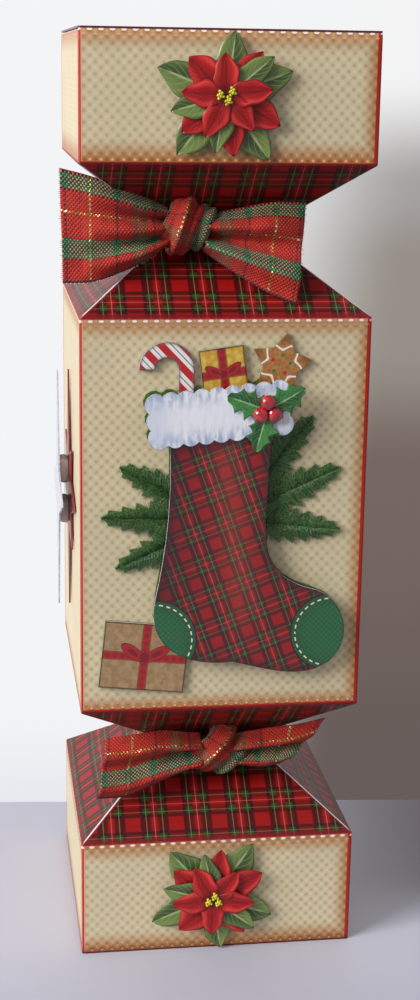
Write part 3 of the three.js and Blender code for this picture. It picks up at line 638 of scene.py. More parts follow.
def card_wall(name, quarter, node, foot, sag, bulge, hand, slip, materials):
    """A creased wall; hand -1 turns its print left to right, and slip moves it, as cut by hand."""
    points, flat = [], []
    path = fold_path(foot, BOX_TOP - (LID_GAP if node == "front_panel" else LID_SEAT))
    for z, d, level in path:
        on_face = math.sin(math.pi * min(max((z - BODY_FOOT) / BODY, 0), 1))
        row, marks = wall_row(z, d, level, sag * on_face, bulge)
        points += row
        flat += [(hand * x + slip, level) for x, level in marks]
    columns = len(points) // len(path)
    faces = grid_faces(len(path), columns)
    plain = [0] * len(faces)
    tabs = [(TAB_END, BLOCK - TAB_SHY), (BODY_FOOT + TAB_SHY, BODY_RIM - TAB_SHY),
            (TOP_FOOT + TAB_SHY, BOX_TOP - TAB_END)]
    for low, high in tabs:
        tab_points, tab_faces = glue_tab(low, high)
        faces += [tuple(v + len(points) for v in face) for face in tab_faces]
        plain += [1] * len(tab_faces)
        points += tab_points
        flat += [(0, 0)] * len(tab_points)
    wall = put(name, [turned(p, quarter) for p in points], faces, materials, flat)
    wall.data.polygons.foreach_set("material_index", plain)
    on_shell(thicken(wall, CARD, inner=1), "printed_card", node)


def make_walls():
    card = printed_card()
    core = paper("white card inside and at cut edges", CORE)
    for quarter, (name, node, sag, bulge, hand, slip) in enumerate(WALLS):
        foot = LID_SEAT if node == "back_panel" else 0.0
        card_wall(name, quarter, node, foot, sag, bulge, hand, slip, [card, core, core])


# Ribbons

RIBBON_THICKNESS = 0.32
WRAP_IN = 0.5
WRAP_OUT = 3.2
KNOT_FORWARD = 5.4
HEM_DEPTH = 0.75
HEM_TURN = 0.02
STITCH_STEP = 0.9
# Each tail: name, upper and lower edge as (x, how far in front of the neck, height in ribbon
# widths), number of pleats, their lean, their greatest depth and the share folded in as a hem
TAILS = [
    ("upper_left",
     [(-12, 6.5, 0.26), (-18, 9.5, 0.36), (-28, 11, 0.52), (-36, 10, 0.604)],
     [(-12, 6.5, -0.08), (-18, 9.5, -0.22), (-28, 11, -0.37), (-35.5, 10, -0.396)],
     3, 0.1, 5.0, 0.055),
    ("upper_right",
     [(-4, 6.5, 0.19), (4, 8.5, 0.26), (11, 10, 0.32), (18.5, 10, 0.32)],
     [(-4, 6.5, -0.13), (3, 11, -0.31), (9, 14, -0.45), (15.8, 16.5, -0.56)],
     2, -0.1, 5.0, 0.06),
    ("lower_left",
     [(-3, 7, 0.22), (-12, 8.5, 0.29), (-19, 9, 0.27), (-26, 9, 0.23)],
     [(-3, 8, -0.07), (-13, 10, -0.2), (-21, 12, -0.3), (-28.5, 13, -0.3)],
     2, 0.1, 6.0, 0.22),
    ("lower_right",
     [(4.5, 7, 0.2), (13, 9, 0.28), (20, 11, 0.34), (26.5, 12, 0.4)],
     [(4.5, 7, -0.1), (11, 8, -0.13), (14, 8, -0.12), (16.5, 8, -0.1)],
     2, -0.1, 6.0, 0.25),
]


def curve_at(points, share):
    """A point on the smooth curve through the points."""
    spans = len(points) - 1
    place = min(share, 0.999999) * spans
    i = int(place)
    t = place - i
    p1, p2 = Vector(points[i]), Vector(points[i + 1])
    p0 = Vector(points[i - 1]) if i else 2 * p1 - p2
    p3 = Vector(points[i + 2]) if i + 2 < len(points) else 2 * p2 - p1
    return 0.5 * (2 * p1 + (p2 - p0) * t + (2 * p0 - 5 * p1 + 4 * p2 - p3) * t * t
                  + (3 * p1 - p0 - 3 * p2 + p3) * t ** 3)


def pleat(share, count, lean):
    """The rise of pleats across the ribbon, 0 at its edges."""
    bent = share + lean * math.sin(2 * math.pi * share) / (2 * math.pi)
    return math.sin(math.pi * count * bent) ** 2


def pleat_depth(chord, count, lean, most, width):
    """How deep the pleats are when a width of ribbon is drawn in to a chord."""
    low, high = 0.0, most
    for _ in range(18):
        middle = (low + high) / 2
        steps = 12 * count
        rises = [middle * pleat(k / steps, count, lean) for k in range(steps + 1)]
        length = sum(math.hypot(chord / steps, b - a) for a, b in zip(rises, rises[1:]))
        low, high = (middle, high) if length < width else (low, middle)
    return low


def ribbon_rows(upper, lower, steps, across, count, lean, most, hem):
    """Rows of points between two edge curves: pleated, with a hem folded behind the top."""
    rows = []
    for i in range(steps + 1):
        run = i / steps
        a, b = curve_at(upper, run), curve_at(lower, run)
        depth = pleat_depth((b - a).length, count, lean, most, RIBBON * (1 - hem))
        row = []
        for k in range(across + 1):
            share = (k / across - hem) / (1 - hem)
            if share >= 0:
                forward = depth * pleat(share, count, lean)
            else:
                forward = -HEM_DEPTH * min(1.0, -share / HEM_TURN)
            row.append(a.lerp(b, abs(share)) + Vector((0, -forward, 0)))
        rows.append(row)
    return rows


def length_of(points):
    return sum((Vector(b) - Vector(a)).length for a, b in zip(points, points[1:]))


def ribbon_piece(name, rows, node, material, loop=False, hem=0.0):
    """A ribbon from rows of points across it, the last row being its cut end."""
    columns = len(rows[0])
    closed = rows + rows[:1] if loop else rows
    lines = [[row[k] for row in closed] for k in range(columns)]
    middle = lines[columns // 2]
    length = length_of(middle)
    cut_length = sum(length_of(line) for line in lines) / columns
    walked = [length_of(middle[:i + 1]) for i in range(len(rows))]
    flat = []
    for i, row in enumerate(rows):
        along = length - walked[i]
        crossed = [0.0]
        for a, b in zip(row, row[1:]):
            crossed.append(crossed[-1] + (Vector(b) - Vector(a)).length)
        fold = crossed[round(hem * (columns - 1))]
        for c in crossed:
            if c < fold:
                share = hem * c / fold
            else:
                share = hem + (1 - hem) * (c - fold) / (crossed[-1] - fold)
            flat.append((RIBBON * share, along))
    points = [p for row in rows for p in row]
    piece = put(name, points, grid_faces(len(rows), columns, loop=loop), [material], flat, "cloth")
    on_shell(thicken(piece, RIBBON_THICKNESS, 0), "tartan_ribbon", node)
    cut_length * MM


def groove_half(reach):
    """Half the free height between the two tapers, at a distance from the neck's middle."""
    return NECK / 2 + max(0.0, reach - NECK_HALF - 0.4) * TAPER / TAPER_RUN


def ribbon_wrap(name, middle, material, node):
    """The turn of ribbon round the neck, crushed into deep folds that wander as they go round."""
    steps, across, folds = 96, 48, 4
    rows = []
    for i in range(steps):
        angle = 2 * math.pi * i / steps
        c, s = math.cos(angle), math.sin(angle)
        square = 1 / max(abs(c), abs(s))
        rounded = 1 / (abs(c) ** 6 + abs(s) ** 6) ** (1 / 6)
        outer = (NECK_HALF + WRAP_OUT) * rounded / square
        inner = NECK_HALF + WRAP_IN
        row = []
        for k in range(across + 1):
            share = k / across
            wander = 0.035 * math.sin(3 * angle + 9 * share) + 0.02 * math.sin(7 * angle + 4)
            fold = math.sin(math.pi * folds * (share + wander * math.sin(math.pi * share))) ** 2
            reach = inner + (outer - inner) * (0.12 + 0.88 * fold)
            room = groove_half(reach) - 0.5
            z = middle + room * (2 * share - 1) * 0.98
            row.append((reach * square * c, reach * square * s, z))
        rows.append(row)
    ribbon_piece(name, rows, node, material, loop=True)


def ribbon_knot(name, middle, shift, lift, tilt, material, node):
    """The knot: the ribbon drawn together and wound once over itself, its edges tucked under."""
    steps, across = 44, 72
    centre = Vector((shift, -NECK_HALF - KNOT_FORWARD, middle + lift))
    rows = []
    for i in range(steps + 1):
        swing = math.radians(-122 + 244 * i / steps)
        front = max(0.0, math.cos(swing))
        row = []
        for k in range(across + 1):
            share = k / across
            tuck = max(0.0, (0.34 - share) / 0.34, (share - 0.88) / 0.12)
            side = max(-1.0, min(1.0, (share - 0.61) / 0.27))
            drift = share + 0.06 * math.sin(1.3 * swing + 0.6)
            fold = (0.6 * math.sin(math.pi * 2.6 * drift + 0.2) ** 2
                    + 0.4 * math.sin(math.pi * 6.3 * drift - 0.8 * swing) ** 2)
            crown = math.sqrt(max(0.0, 1 - (0.96 * side) ** 2))
            out = 3.4 + 1.6 * crown + 2.6 * fold * (0.35 + 0.65 * crown)
            out -= tuck * (out - 0.9)
            x = side * (5.1 - 0.7 * front * (1 - abs(side))) - 1.6 * tuck * math.copysign(1, side)
            x += 0.8 * math.sin(swing)
            y = -out * math.cos(swing) * 1.05
            z = out * math.sin(swing)
            row.append(centre + Matrix.Rotation(tilt, 3, "Y") @ Vector((x, y, z)))
        rows.append(row)
    ribbon_piece(name, rows, node, material)


def ribbon_tail(name, middle, upper, lower, count, lean, most, hem, material, node):
    """A loose end: pleated where it leaves the knot, opening out towards its cut end."""
    edges = [[(x, -NECK_HALF - forward, middle + share * RIBBON) for x, forward, share in edge]
             for edge in (upper, lower)]
    rows = ribbon_rows(*edges, 48, 60, count, lean, most, hem)
    for i, row in enumerate(rows):
        run = i / (len(rows) - 1)
        for k, point in enumerate(row):
            share = k / (len(row) - 1)
            point.y += 0.35 * run * math.sin(9 * share + 5 * run) * math.sin(math.pi * share)
            point.y += 0.22 * math.sin(16 * run + 6 * share) * math.sin(math.pi * share) * (1 - run)
            point.y -= 0.5 * run ** 6 * math.cos(7 * share + 1)
    ribbon_piece(name, rows, node, material, hem=hem)
    return rows


def frayed_end(name, rows, material):
    """Loose thread ends along a ribbon's cut end."""
    chance = random.Random(len(name))
    spots = []
    for point, inner in zip(rows[-1], rows[-4]):
        way = (point - inner).normalized()
        way += Vector([chance.uniform(-0.25, 0.25) for _ in range(3)])
        spots.append((point - way * 0.15, way, chance.uniform(0.35, 1.0)))
    strewn(name, spots, material, "tartan_ribbon", 0.9, 0.16, 0.3)


def edge_stitches(name, rows, material):
    """The pale stitches over a ribbon's lower edge."""
    spots, walked = [], 0.0
    for row, ahead in zip(rows[6:], rows[7:]):
        walked += (ahead[-1] - row[-1]).length
        while walked > STITCH_STEP:
            walked -= STITCH_STEP
            out = (row[-1] - row[-3]).normalized()
            spots.append((row[-1] + out * 0.05, out, 1.0))
    strewn(name, spots, material, "tartan_ribbon", 0.75, 0.38, 0.25, grain=True)


def two_tone(name, first, second, patches, roughness, **inputs):
    """A plain surface that wanders between two colours."""
    f = Finish(name)
    return f.shade(f.mix(f.patches(*patches), first, second), roughness, **inputs)


def thread_finish(name, code, other):
    return two_tone(name, code, other, (0.7, 2, 0.4, 0.6), 0.7, Sheen_Weight=0.1)


def make_ribbons():
    woven = woven_tartan()
    red = thread_finish("loose red threads", "b81f14", "5c1210")
    pale = thread_finish("pale edge stitches", "ded6e2", "9a8c9c")
    for name, level in (("upper", UPPER_NECK), ("lower", LOWER_NECK)):
        ribbon_wrap(f"{name}_ribbon_turn", level, woven, f"{name}_ribbon_wrap")
    ribbon_knot("upper_knot", UPPER_NECK, shift=-8.0, lift=2.5, tilt=math.radians(15),
                material=woven, node="upper_ribbon_knot")
    ribbon_knot("lower_knot", LOWER_NECK, shift=1.0, lift=1.5, tilt=math.radians(40),
                material=woven, node="lower_ribbon_knot")
    for name, upper, lower, count, lean, most, hem in TAILS:
        end, side = name.split("_")
        level = UPPER_NECK if end == "upper" else LOWER_NECK
        rows = ribbon_tail(f"{name}_tail", level, upper, lower, count, lean, most, hem, woven,
                           f"{end}_ribbon_{side}_tail")
        frayed_end(f"{name}_frayed_end", rows, red)
        if name == "upper_left":
            edge_stitches("upper_left_edge_stitches", rows, pale)


# Poinsettias

FLOWER_SHIFT = -1.3
SMALL_LEAF = 6
STAMEN_FRONT = 3.25
STAMENS = 8
CLUMPS = [(-1.4, 0.1), (1.1, 0.8), (0.3, -1.1)]
CLUMPS_FLIPPED = [(-1.2, -0.3), (0.3, 1.1), (1.2, -0.5)]
# Each leaf or petal: its angle, length and width
LEAVES = [(8, 13.4, 7.2), (51, 12.8, 5.8), (70, 15.1, 8.2), (145, 16.4, 8.4), (191, 12.1, 5.4),
          (220, 16.2, 8.4), (254, 12.4, 6.0), (291, 15.6, 8.2)]
BROAD_PETALS = [(-46, 11.2, 7.6), (40, 11.8, 5.8), (118, 13.2, 7.6), (172, 12.8, 6.4),
                (231, 12.3, 7.2)]
SLIM_PETALS = [(-3, 8.7, 5.6), (83, 9.8, 5.6), (141, 9.2, 5.2), (208, 9.8, 5.6), (273, 9.8, 5.6)]


def leaf_rows(angle, length, width, depth, lift, cup, curl, middle, fullness=0.85, spines=0):
    """A pointed leaf or petal on the front wall: rows of (point, place on the leaf). A leaf with
    spines is hollowed between them, as holly is."""
    steps = 36 if spines else 20
    rows = []
    across = 8
    c, s = math.cos(math.radians(angle)), math.sin(math.radians(angle))
    for i in range(steps + 1):
        t = i / steps
        run = length * (0.8 * t * (1 - t) + t * t)
        half = 0.5 * width * (4 * t * (1 - t)) ** fullness
        half *= 1 - 0.42 * abs(math.sin(math.pi * spines * t))
        row = []
        for k in range(across + 1):
            side = 2 * k / across - 1
            x = side * half * (1 + 0.09 * math.sin(14 * t + angle * (1.7 if side > 0 else 2.9)))
            rise = lift * math.sin(math.pi * min(1, t * 1.1)) + cup * abs(side) * half / width
            rise += curl * t ** 3 + 0.08 * math.sin(11 * t + 3 * side) * abs(side)
            out = Vector((middle[0] + x * c - run * s, -BOX_HALF - depth - rise,
                          middle[1] + x * s + run * c))
            row.append((out, (side, t)))
        rows.append(row)
    return rows


def leaf_cluster(name, leaves, materials, node, slot, thickness=0.16):
    """Several leaves in one die-cut layer, printed to the edge."""
    points, faces, flat = [], [], []
    for rows in leaves:
        faces += grid_faces(len(rows), len(rows[0]), len(points))
        for row in rows:
            points += [point for point, _ in row]
            flat += [mark for _, mark in row]
    piece = put(name, points, faces, materials, flat, "leaf")
    weld = bmesh.new()
    weld.from_mesh(piece.data)
    bmesh.ops.dissolve_degenerate(weld, edges=weld.edges, dist=1e-7)
    weld.to_mesh(piece.data)
    weld.free()
    on_shell(thicken(piece, thickness, inner=1, rim=0), slot, node)


def petal_finish():
    f = Finish("poinsettia petal print")
    side, run, _ = f.axes(f.flat("leaf"))
    away = abs(side)
    colour = f.mix(f.step(side, 0.5, -0.5), "c0161a", "a81018")
    colour = f.mix(f.step(away, 0.62, 0.15) * 0.55, colour, "7c0a0e")
    fibre = f.noise(f.flat("leaf"), 0.4, 3, (5, 0.9, 1))
    colour = f.mix(f.step(fibre, 0.42, 0.72) * 0.5, colour, "d8362c")
    light = f.step(abs(away - 0.74), 0.3, 0.05) * f.step(run, 0.2, 0.5) * f.step(run, 1.0, 0.8)
    colour = f.mix(light * (0.35 + f.step(side, 0.0, 0.4) * 0.3), colour, "ea4a42")
    veins = f.step((run * 10 - away * 3.2).wave(1.0), 0.5, 0.95) * f.step(away, 1.0, 0.5)
    colour = f.mix(veins * 0.3, colour, "5f070d")
    rib = f.step(away, 0.09, 0.02) * f.step(run, 0.97, 0.6)
    colour = f.mix(rib * 0.4, colour, "4c060b")
    colour = f.mix(f.step(run, 0.42, 0.08) * 0.85, colour, "3a0509")
    colour = f.mix(f.step(away, 0.8, 1.0) * 0.5, colour, "6a080e")
    return f.shade(colour, 0.42, Coat_Weight=0.15, Coat_Roughness=0.25, Specular_IOR_Level=0.3,
                   Normal=f.bump(fibre * 0.6 + rib * -0.5, 0.06))


def leaf_finish(name, dark, light, rib_code):
    f = Finish(name)
    side, run, _ = f.axes(f.flat("leaf"))
    away = abs(side)
    veins = f.step(((run * 9 - away * 2.6) * 6.283).sine(), 0.75, 0.98)
    half = f.step(side, -0.12, 0.12)
    colour = f.mix(half * 0.75 + 0.12, light, dark)
    colour = f.mix(f.step(away, 0.35, 0.95) * (0.75 - half * 0.25), colour, light)
    mottle = f.noise(f.flat("leaf"), 0.3, 3, (1.5, 1, 1))
    colour = f.mix(f.step(mottle, 0.4, 0.75) * 0.4, colour, dark)
    colour = f.mix(veins * 0.28 * f.step(away, 1.0, 0.7), colour, rib_code)
    rib = f.step(away, 0.1, 0.03) * f.step(run, 0.98, 0.8)
    colour = f.mix(rib * 0.8, colour, rib_code)
    colour = f.mix(f.step(away, 0.93, 0.99) * 0.6, colour, "16260f")
    return f.shade(colour, 0.36, Coat_Weight=0.3, Coat_Roughness=0.25,
                   Normal=f.bump(mottle * 0.4 - rib * 0.6, 0.06))


def make_poinsettia(name, level, flip, finishes):
    """Leaves under broad petals under slim ones; the lower flower is the upper one upside down."""
    petal, leaf, stamen, core = finishes
    middle = (FLOWER_SHIFT, level)

    def layer(places, depth, lift, cup, curl):
        return [leaf_rows(angle - 180 if flip else -angle, length, width, depth + 0.1 * (i % 2),
                          lift, cup, curl, middle, 0.82)
                for i, (angle, length, width) in enumerate(places)]

    small = [place for place in LEAVES if place[2] <= SMALL_LEAF]
    large = [place for place in LEAVES if place[2] > SMALL_LEAF]
    leaf_cluster(f"{name}_flower_leaves",
                 layer(large, depth=1.2, lift=0.1, cup=0.6, curl=0.15)
                 + layer(small, depth=2.4, lift=0.2, cup=0.5, curl=0.1),
                 [leaf, core], f"{name}_poinsettia_leaves", "flower_green")
    petals = (layer(BROAD_PETALS, depth=1.9, lift=0.2, cup=0.6, curl=0.2)
              + layer(SLIM_PETALS, depth=2.7, lift=0.3, cup=0.8, curl=0.3))
    leaf_cluster(f"{name}_flower_petals", petals, [petal, core],
                 f"{name}_poinsettia_petals", "flower_red")
    chance = random.Random(7)
    spots = []
    clumps = CLUMPS_FLIPPED if flip else CLUMPS
    for x, z in clumps:
        for grain in range(STAMENS):
            spin = grain * 2.4
            reach = 0.1 + 0.11 * grain
            point = (middle[0] + x + reach * math.cos(spin), -BOX_HALF - STAMEN_FRONT + 0.03 * grain,
                     middle[1] + z + reach * math.sin(spin))
            spots.append((point, (0.5 * math.cos(spin), -1, 0.5 * math.sin(spin)),
                          chance.uniform(0.75, 1.0)))
    strewn(f"{name}_flower_stamens", spots, stamen, "star_print", 1.1, 0.72, 0.2, grain=True)


def berry_cluster(name, places, material, slot, node):
    """Rounded berries standing on the front wall's topper."""
    berries = bmesh.new()
    for x, z in places:
        spot = Matrix.Translation(Vector((x, -BOX_HALF - BERRY_DEPTH, FACE_MIDDLE + z)) * MM)
        bmesh.ops.create_uvsphere(berries, u_segments=20, v_segments=12, radius=BERRY * MM,
                                  matrix=spot @ Matrix.Diagonal((1, BERRY_SQUASH, 1, 1)))
    mesh = bpy.data.meshes.new(name)
    berries.to_mesh(mesh)
    berries.free()
    on_shell(add_piece(name, mesh, [material]), slot, node)


def make_flowers():
    core = paper("cut edge of the flowers", "9c8f86")
    stamen = two_tone("yellow stamens", "f2dc30", "9aa018", (0.5, 2, 0.35, 0.7), 0.4,
                      Coat_Weight=0.3)
    finishes = (petal_finish(), leaf_finish("poinsettia leaf print", "2c4316", "7c9248", "b4c488"),
                stamen, core)
    make_poinsettia("top", TOP_FOOT + BLOCK / 2 + 0.4, False, finishes)
    make_poinsettia("bottom", BLOCK / 2 - 0.4, True, finishes)


# Stocking topper: places are from the middle of the front wall

BISCUIT_AT = (12, 35.5)
CUFF_AT = (-2, 25)
CUFF_SIZE = (31, 11)
CUFF_TILT = 6
HOLLY_AT = (8.5, 26)
HOLLY_DEPTH = 4.8
STOCKING_DEPTH = 2.7
CUFF_DEPTH = 4.3
CANE_DEPTH = 0.6
GIFT_DEPTH = 1.0
SPRIG_DEPTH = 0.62
NEEDLE_STEP = 0.36
# Each printed gift: its middle, size and tilt
SMALL_GIFT = ((-0.7, 33.5), (10.1, 11.6), 8)
PARCEL = ((-18, -32), (19.6, 16), -6)
BERRY = 1.75
BERRY_RING = 1.785
BERRY_SQUASH = 0.8
BERRY_DEPTH = 5.6
PATCHES = [((24.5, -26.5), 9.0), ((-16, -27.5), 9.5)]
# Each fir sprig: its angle, length and width
SPRIGS = [(-62, 27, 9), (-88, 28, 9), (40, 31, 10), (66, 29, 10), (96, 27, 9), (-114, 27, 9)]


def bezier(p0, p1, p2, p3, steps):
    points = []
    for i in range(steps):
        t = i / steps
        u = 1 - t
        points.append(tuple(
            u ** 3 * a + 3 * u * u * t * b + 3 * u * t * t * c + t ** 3 * d
            for a, b, c, d in zip(p0, p1, p2, p3)))
    return points


def arc(middle, radius, start, end, steps):
    """Points round an arc, in degrees, its last point left out."""
    points = []
    for i in range(steps):
        angle = math.radians(start + (end - start) * i / steps)
        points.append((middle[0] + radius * math.cos(angle), middle[1] + radius * math.sin(angle)))
    return points


def stocking_outline():
    return (bezier((-13, 22), (-12, 8), (-13, -4), (-15.5, -16), 16)
            + bezier((-15.5, -16), (-19, -30), (-8, -34), (2, -33), 22)
            + bezier((2, -33), (10, -35), (18, -38), (24, -34), 16)
            + bezier((24, -34), (31, -29), (28, -18), (20, -16), 22)
            + bezier((20, -16), (12, -14), (9, -9), (9, 0), 18)
            + [(9, 0), (9.5, 12), (10, 24)])


def tilted(x, z, width, height, tilt):
    """Corners of a turned oblong, anticlockwise from the lower left."""
    c, s = math.cos(math.radians(tilt)), math.sin(math.radians(tilt))
    sides = [(-1, -1), (1, -1), (1, 1), (-1, 1)]
    return [(x + a * width / 2 * c - b * height / 2 * s, z + a * width / 2 * s + b * height / 2 * c)
            for a, b in sides]


def cuff_outline():
    """The fur cuff's edge: small scallops round a tilted oblong."""
    corners = tilted(*CUFF_AT, *CUFF_SIZE, CUFF_TILT)
    points = []
    for i, start in enumerate(corners):
        end = corners[(i + 1) % 4]
        count = 3 if i % 2 else 9
        dx, dz = (end[0] - start[0]) / count, (end[1] - start[1]) / count
        for n in range(count):
            for k in range(6):
                t = k / 6
                bow = 0.45 * 2 * t * (1 - t)
                points.append((start[0] + dx * (n + t) + dz * bow,
                               start[1] + dz * (n + t) - dx * bow))
    return points


def cane_outline():
    x, foot, top, bend, width = -9.0, 24.0, 34.5, 4.4, 3.4
    crook = (x - bend, top)
    inner = arc(crook, bend - width / 2, 180, 0, 9)
    return ([(x - width / 2, foot), (x + width / 2, foot)]
            + arc(crook, bend + width / 2, 0, 180, 15) + [(x - 2 * bend - width / 2, top)]
            + inner + [(x - width / 2, top)])


def cutout(name, outline, depth, materials, node, slot, thickness=CARD, rings=(0.45,)):
    """A die-cut card on the front wall. Its edge attribute is 0 at the cut, 1 past the first
    ring and 2 past the last, for a line and for shading round the print."""
    shape = bmesh.new()
    mark = shape.loops.layers.float_color.new("edge")
    y = -BOX_HALF - depth - thickness
    corners = [shape.verts.new(Vector((x, y, FACE_MIDDLE + z)) * MM) for x, z in outline]
    face = shape.faces.new(corners)
    face.normal_update()
    if face.normal.y > 0:
        face.normal_flip()
    level = {}
    for i, ring in enumerate(rings):
        bmesh.ops.inset_region(shape, faces=[face], thickness=ring * MM, use_even_offset=True,
                               use_boundary=True)
        inside = set(face.verts)
        level.update({v: 0.5 * i for v in shape.verts if v not in level and v not in inside})
    level.update(dict.fromkeys(face.verts, 0.5 * len(rings)))
    bmesh.ops.triangulate(shape, faces=[f for f in shape.faces if len(f.verts) > 4])
    for side in shape.faces:
        for loop in side.loops:
            value = level[loop.vert]
            loop[mark] = (value, value, value, 1.0)
    mesh = bpy.data.meshes.new(name)
    shape.to_mesh(mesh)
    shape.free()
    piece = add_piece(name, mesh, materials, smooth=False)
    on_shell(thicken(piece, thickness, inner=1), slot, node)


def drawn(f):
    """Where a topper's drawing is at: x and z from the middle of the front wall."""
    x, _, z = f.axes(f.place())
    return x, z - FACE_MIDDLE


def edge_share(f):
    return f.axes(f.node("VertexColor", {"layer_name": "edge"}))[0] * 2


def topper_card(f, colour, outline="241310", line=0.55, gloss=0.32):
    """Ends a topper's print: a fine dark line at its edge under a light varnish."""
    colour = f.mix(f.step(edge_share(f), line, line - 0.35) * 0.85, colour, outline)
    return f.shade(colour, gloss, Coat_Weight=0.35, Coat_Roughness=0.2,
                   Normal=f.bump(f.noise(f.place(), 0.35, 3), 0.03))


def stocking_finish():
    f = Finish("tartan stocking print")
    x, z = drawn(f)
    lean_x = x * math.cos(0.35) + z * math.sin(0.35)
    lean_z = z * math.cos(0.35) - x * math.sin(0.35)
    colour = tartan_colour(f, lean_x, lean_z, 7.4)
    left = f.step(x, -4, -15) * f.step(z, -38, -20)
    colour = f.mix(left * 0.5, colour, "2a0508")
    colour = f.mix(f.step(edge_share(f), 1.9, 0.9) * 0.5, colour, "220408")
    glow = f.band(x + 0.12 * z, 1.5, 5.5, 4.5) * f.step(z, -34, -14)
    colour = f.mix(glow * 0.14, colour, "e8705c")
    for middle, radius in PATCHES:
        dx, dz = x - middle[0], z - middle[1]
        reach = dx.distance(dz)
        patch = f.step(reach, radius + 0.06, radius - 0.06)
        knit = f.step(dx.wave(1.3) * dz.wave(1.3), -0.2, 0.5)
        green = f.mix(knit * 0.35, "1d5a34", "3c8a4f")
        green = f.mix(f.step(reach, radius - 4, radius) * 0.4, green, "0f3320")
        colour = f.mix(patch, colour, green)
        turn = dz.sum("ARCTAN2", dz, dx)
        dash = f.step((turn * radius).wave(1.9), -0.3, 0.1)
        colour = f.mix(f.band(reach, radius - 0.9, 0.32, 0.05) * dash, colour, "f0e4c8")
        colour = f.mix(f.band(reach, radius + 0.15, 0.3, 0.06), colour, "1a0d0c")
    return topper_card(f, colour)


def fur_finish():
    f = Finish("white fur cuff print")
    x, z = drawn(f)
    c, s = math.cos(0.105), math.sin(0.105)
    across, up = x - CUFF_AT[0], z - CUFF_AT[1]
    along, up = x * c + up * s, up * c - across * s
    strand = f.noise(f.place(), 1.1, 4, (1.0, 1.0, 0.35))
    shade = f.step(abs(up), 1.6, 5.6) * f.step(strand, 0.35, 0.62)
    colour = f.mix(f.step(strand, 0.4, 0.7) * 0.3, "f4f5fb", "cdd5ea")
    colour = f.mix(shade * 0.75, colour, "8d9fc6")
    colour = f.mix(f.step(along, -10, -17) * 0.4, colour, "b6c1dc")
    return topper_card(f, colour, "3f4a66", 0.35)


def cane_finish():
    f = Finish("candy cane print")
    x, z = drawn(f)
    stripe = f.step((x * 0.72 + z * 0.69).wave(3.4), 0.02, 0.12)
    colour = f.mix(stripe, "f5eeee", "c01a1e")
    fine = f.band((x * 0.72 + z * 0.69) % 3.4, 1.7, 0.22)
    colour = f.mix(fine, colour, "2f7a44")
    round_off = f.step(edge_share(f), 2.0, 0.6)
    colour = f.mix(round_off * 0.5, colour, "7d5a68")
    return topper_card(f, colour, "3a1216")


def biscuit_finish():
    f = Finish("star biscuit print")
    x, z = drawn(f)
    crumb = f.noise(f.place(), 0.7, 4)
    colour = f.mix(f.step(crumb, 0.35, 0.7), "a5682f", "c08a4a")
    dx, dz = x - BISCUIT_AT[0], z - BISCUIT_AT[1]
    reach = dx.distance(dz)
    turn = dz.sum("ARCTAN2", dz, dx)
    star = reach + (turn * 5 + 0.45).sine() * 0.9
    colour = f.mix(f.step(star, 4.4, 6.6) * 0.6, colour, "6e3d18")
    wavy = f.band(star, 4.2, 0.55, 0.1)
    colour = f.mix(wavy, colour, "fbf3ea")
    for i, spot in enumerate(arc(BISCUIT_AT, 2.1, 79, 439, 5)):
        colour = f.mix(f.disc(x, z, spot, 0.42), colour, "c22026" if i % 2 else "2f7a44")
    return plain_card_node(f, colour)


def plain_card_node(f, colour, front=None):
    """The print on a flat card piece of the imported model, pale behind its front layer."""
    if front is not None:
        _, y, _ = f.axes(f.place())
        colour = f.mix(f.step(y, front + 0.03, front + 0.1), colour, CORE)
    return f.shade(colour, 0.35, Coat_Weight=0.3, Coat_Roughness=0.22,
                   Normal=f.bump(f.noise(f.place(), 0.35, 3), 0.03))


def gift_finish(name, middle, size, tilt, base, speck, band, knot, front):
    """A wrapped parcel seen from the front: paper, a crossed ribbon and a bow over it."""
    f = Finish(name)
    x, z = drawn(f)
    c, s = math.cos(math.radians(tilt)), math.sin(math.radians(tilt))
    dx = (x - middle[0]) * c + (z - middle[1]) * s
    dz = (z - middle[1]) * c - (x - middle[0]) * s
    paper_tone = f.noise(f.place(), 1.6, 4)
    colour = f.mix(f.step(paper_tone, 0.35, 0.7), base, speck)
    dots = f.step(dx.wave(2.1) * dz.wave(2.1), 0.75, 0.92)
    colour = f.mix(dots * 0.5, colour, speck)
    ribbon = f.band(dx, 0, 1.7).most(f.band(dz, 0, 1.7))
    fold = f.step(dx.wave(1.7) + dz.wave(1.7), -0.5, 1.2)
    colour = f.mix(ribbon, colour, f.mix(fold * 0.6, band, knot))
    ring = f.band(dx, 0, 2.1, 0.05).most(f.band(dz, 0, 2.1, 0.05)) - ribbon
    colour = f.mix(ring * 0.7, colour, "2b1510")
    reach = size[1] * 0.17
    for hand in (-1, 1):  # the bow's two loops
        across, up = dx - hand * reach, dz - reach * 0.35
        bent = across * across + (up - across * hand * 0.5) ** 2 * 3.2
        for outer, inner, code in ((1.25, 1.05, "2b1510"), (1.05, 0.85, band), (0.35, 0.1, knot)):
            inside = f.step(bent, reach * reach * outer, reach * reach * inner)
            colour = f.mix(inside, colour, code)
    colour = f.mix(f.disc(dx, dz, (0, 0), reach * 0.42, 0.12), colour, knot)
    edge = f.step(abs(dx), size[0] / 2 - 0.5, size[0] / 2 - 0.15)
    edge = edge.most(f.step(abs(dz), size[1] / 2 - 0.5, size[1] / 2 - 0.15))
    colour = f.mix(edge * 0.8, colour, "2b1a12")
    return plain_card_node(f, colour, front=front)


def fir_finish():
    f = Finish("fir sprig print")
    needle = f.noise(f.place(), 0.6, 4, (1.4, 1, 1.4))
    colour = f.mix(f.step(needle, 0.35, 0.65), "1d3f1a", "5f8a3a")
    tone = f.patches(5, 2, 0.4, 0.7)
    colour = f.mix(tone * 0.4, colour, "2c5a34")
    return f.shade(colour, 0.4, Coat_Weight=0.25, Normal=f.bump(needle, 0.08))


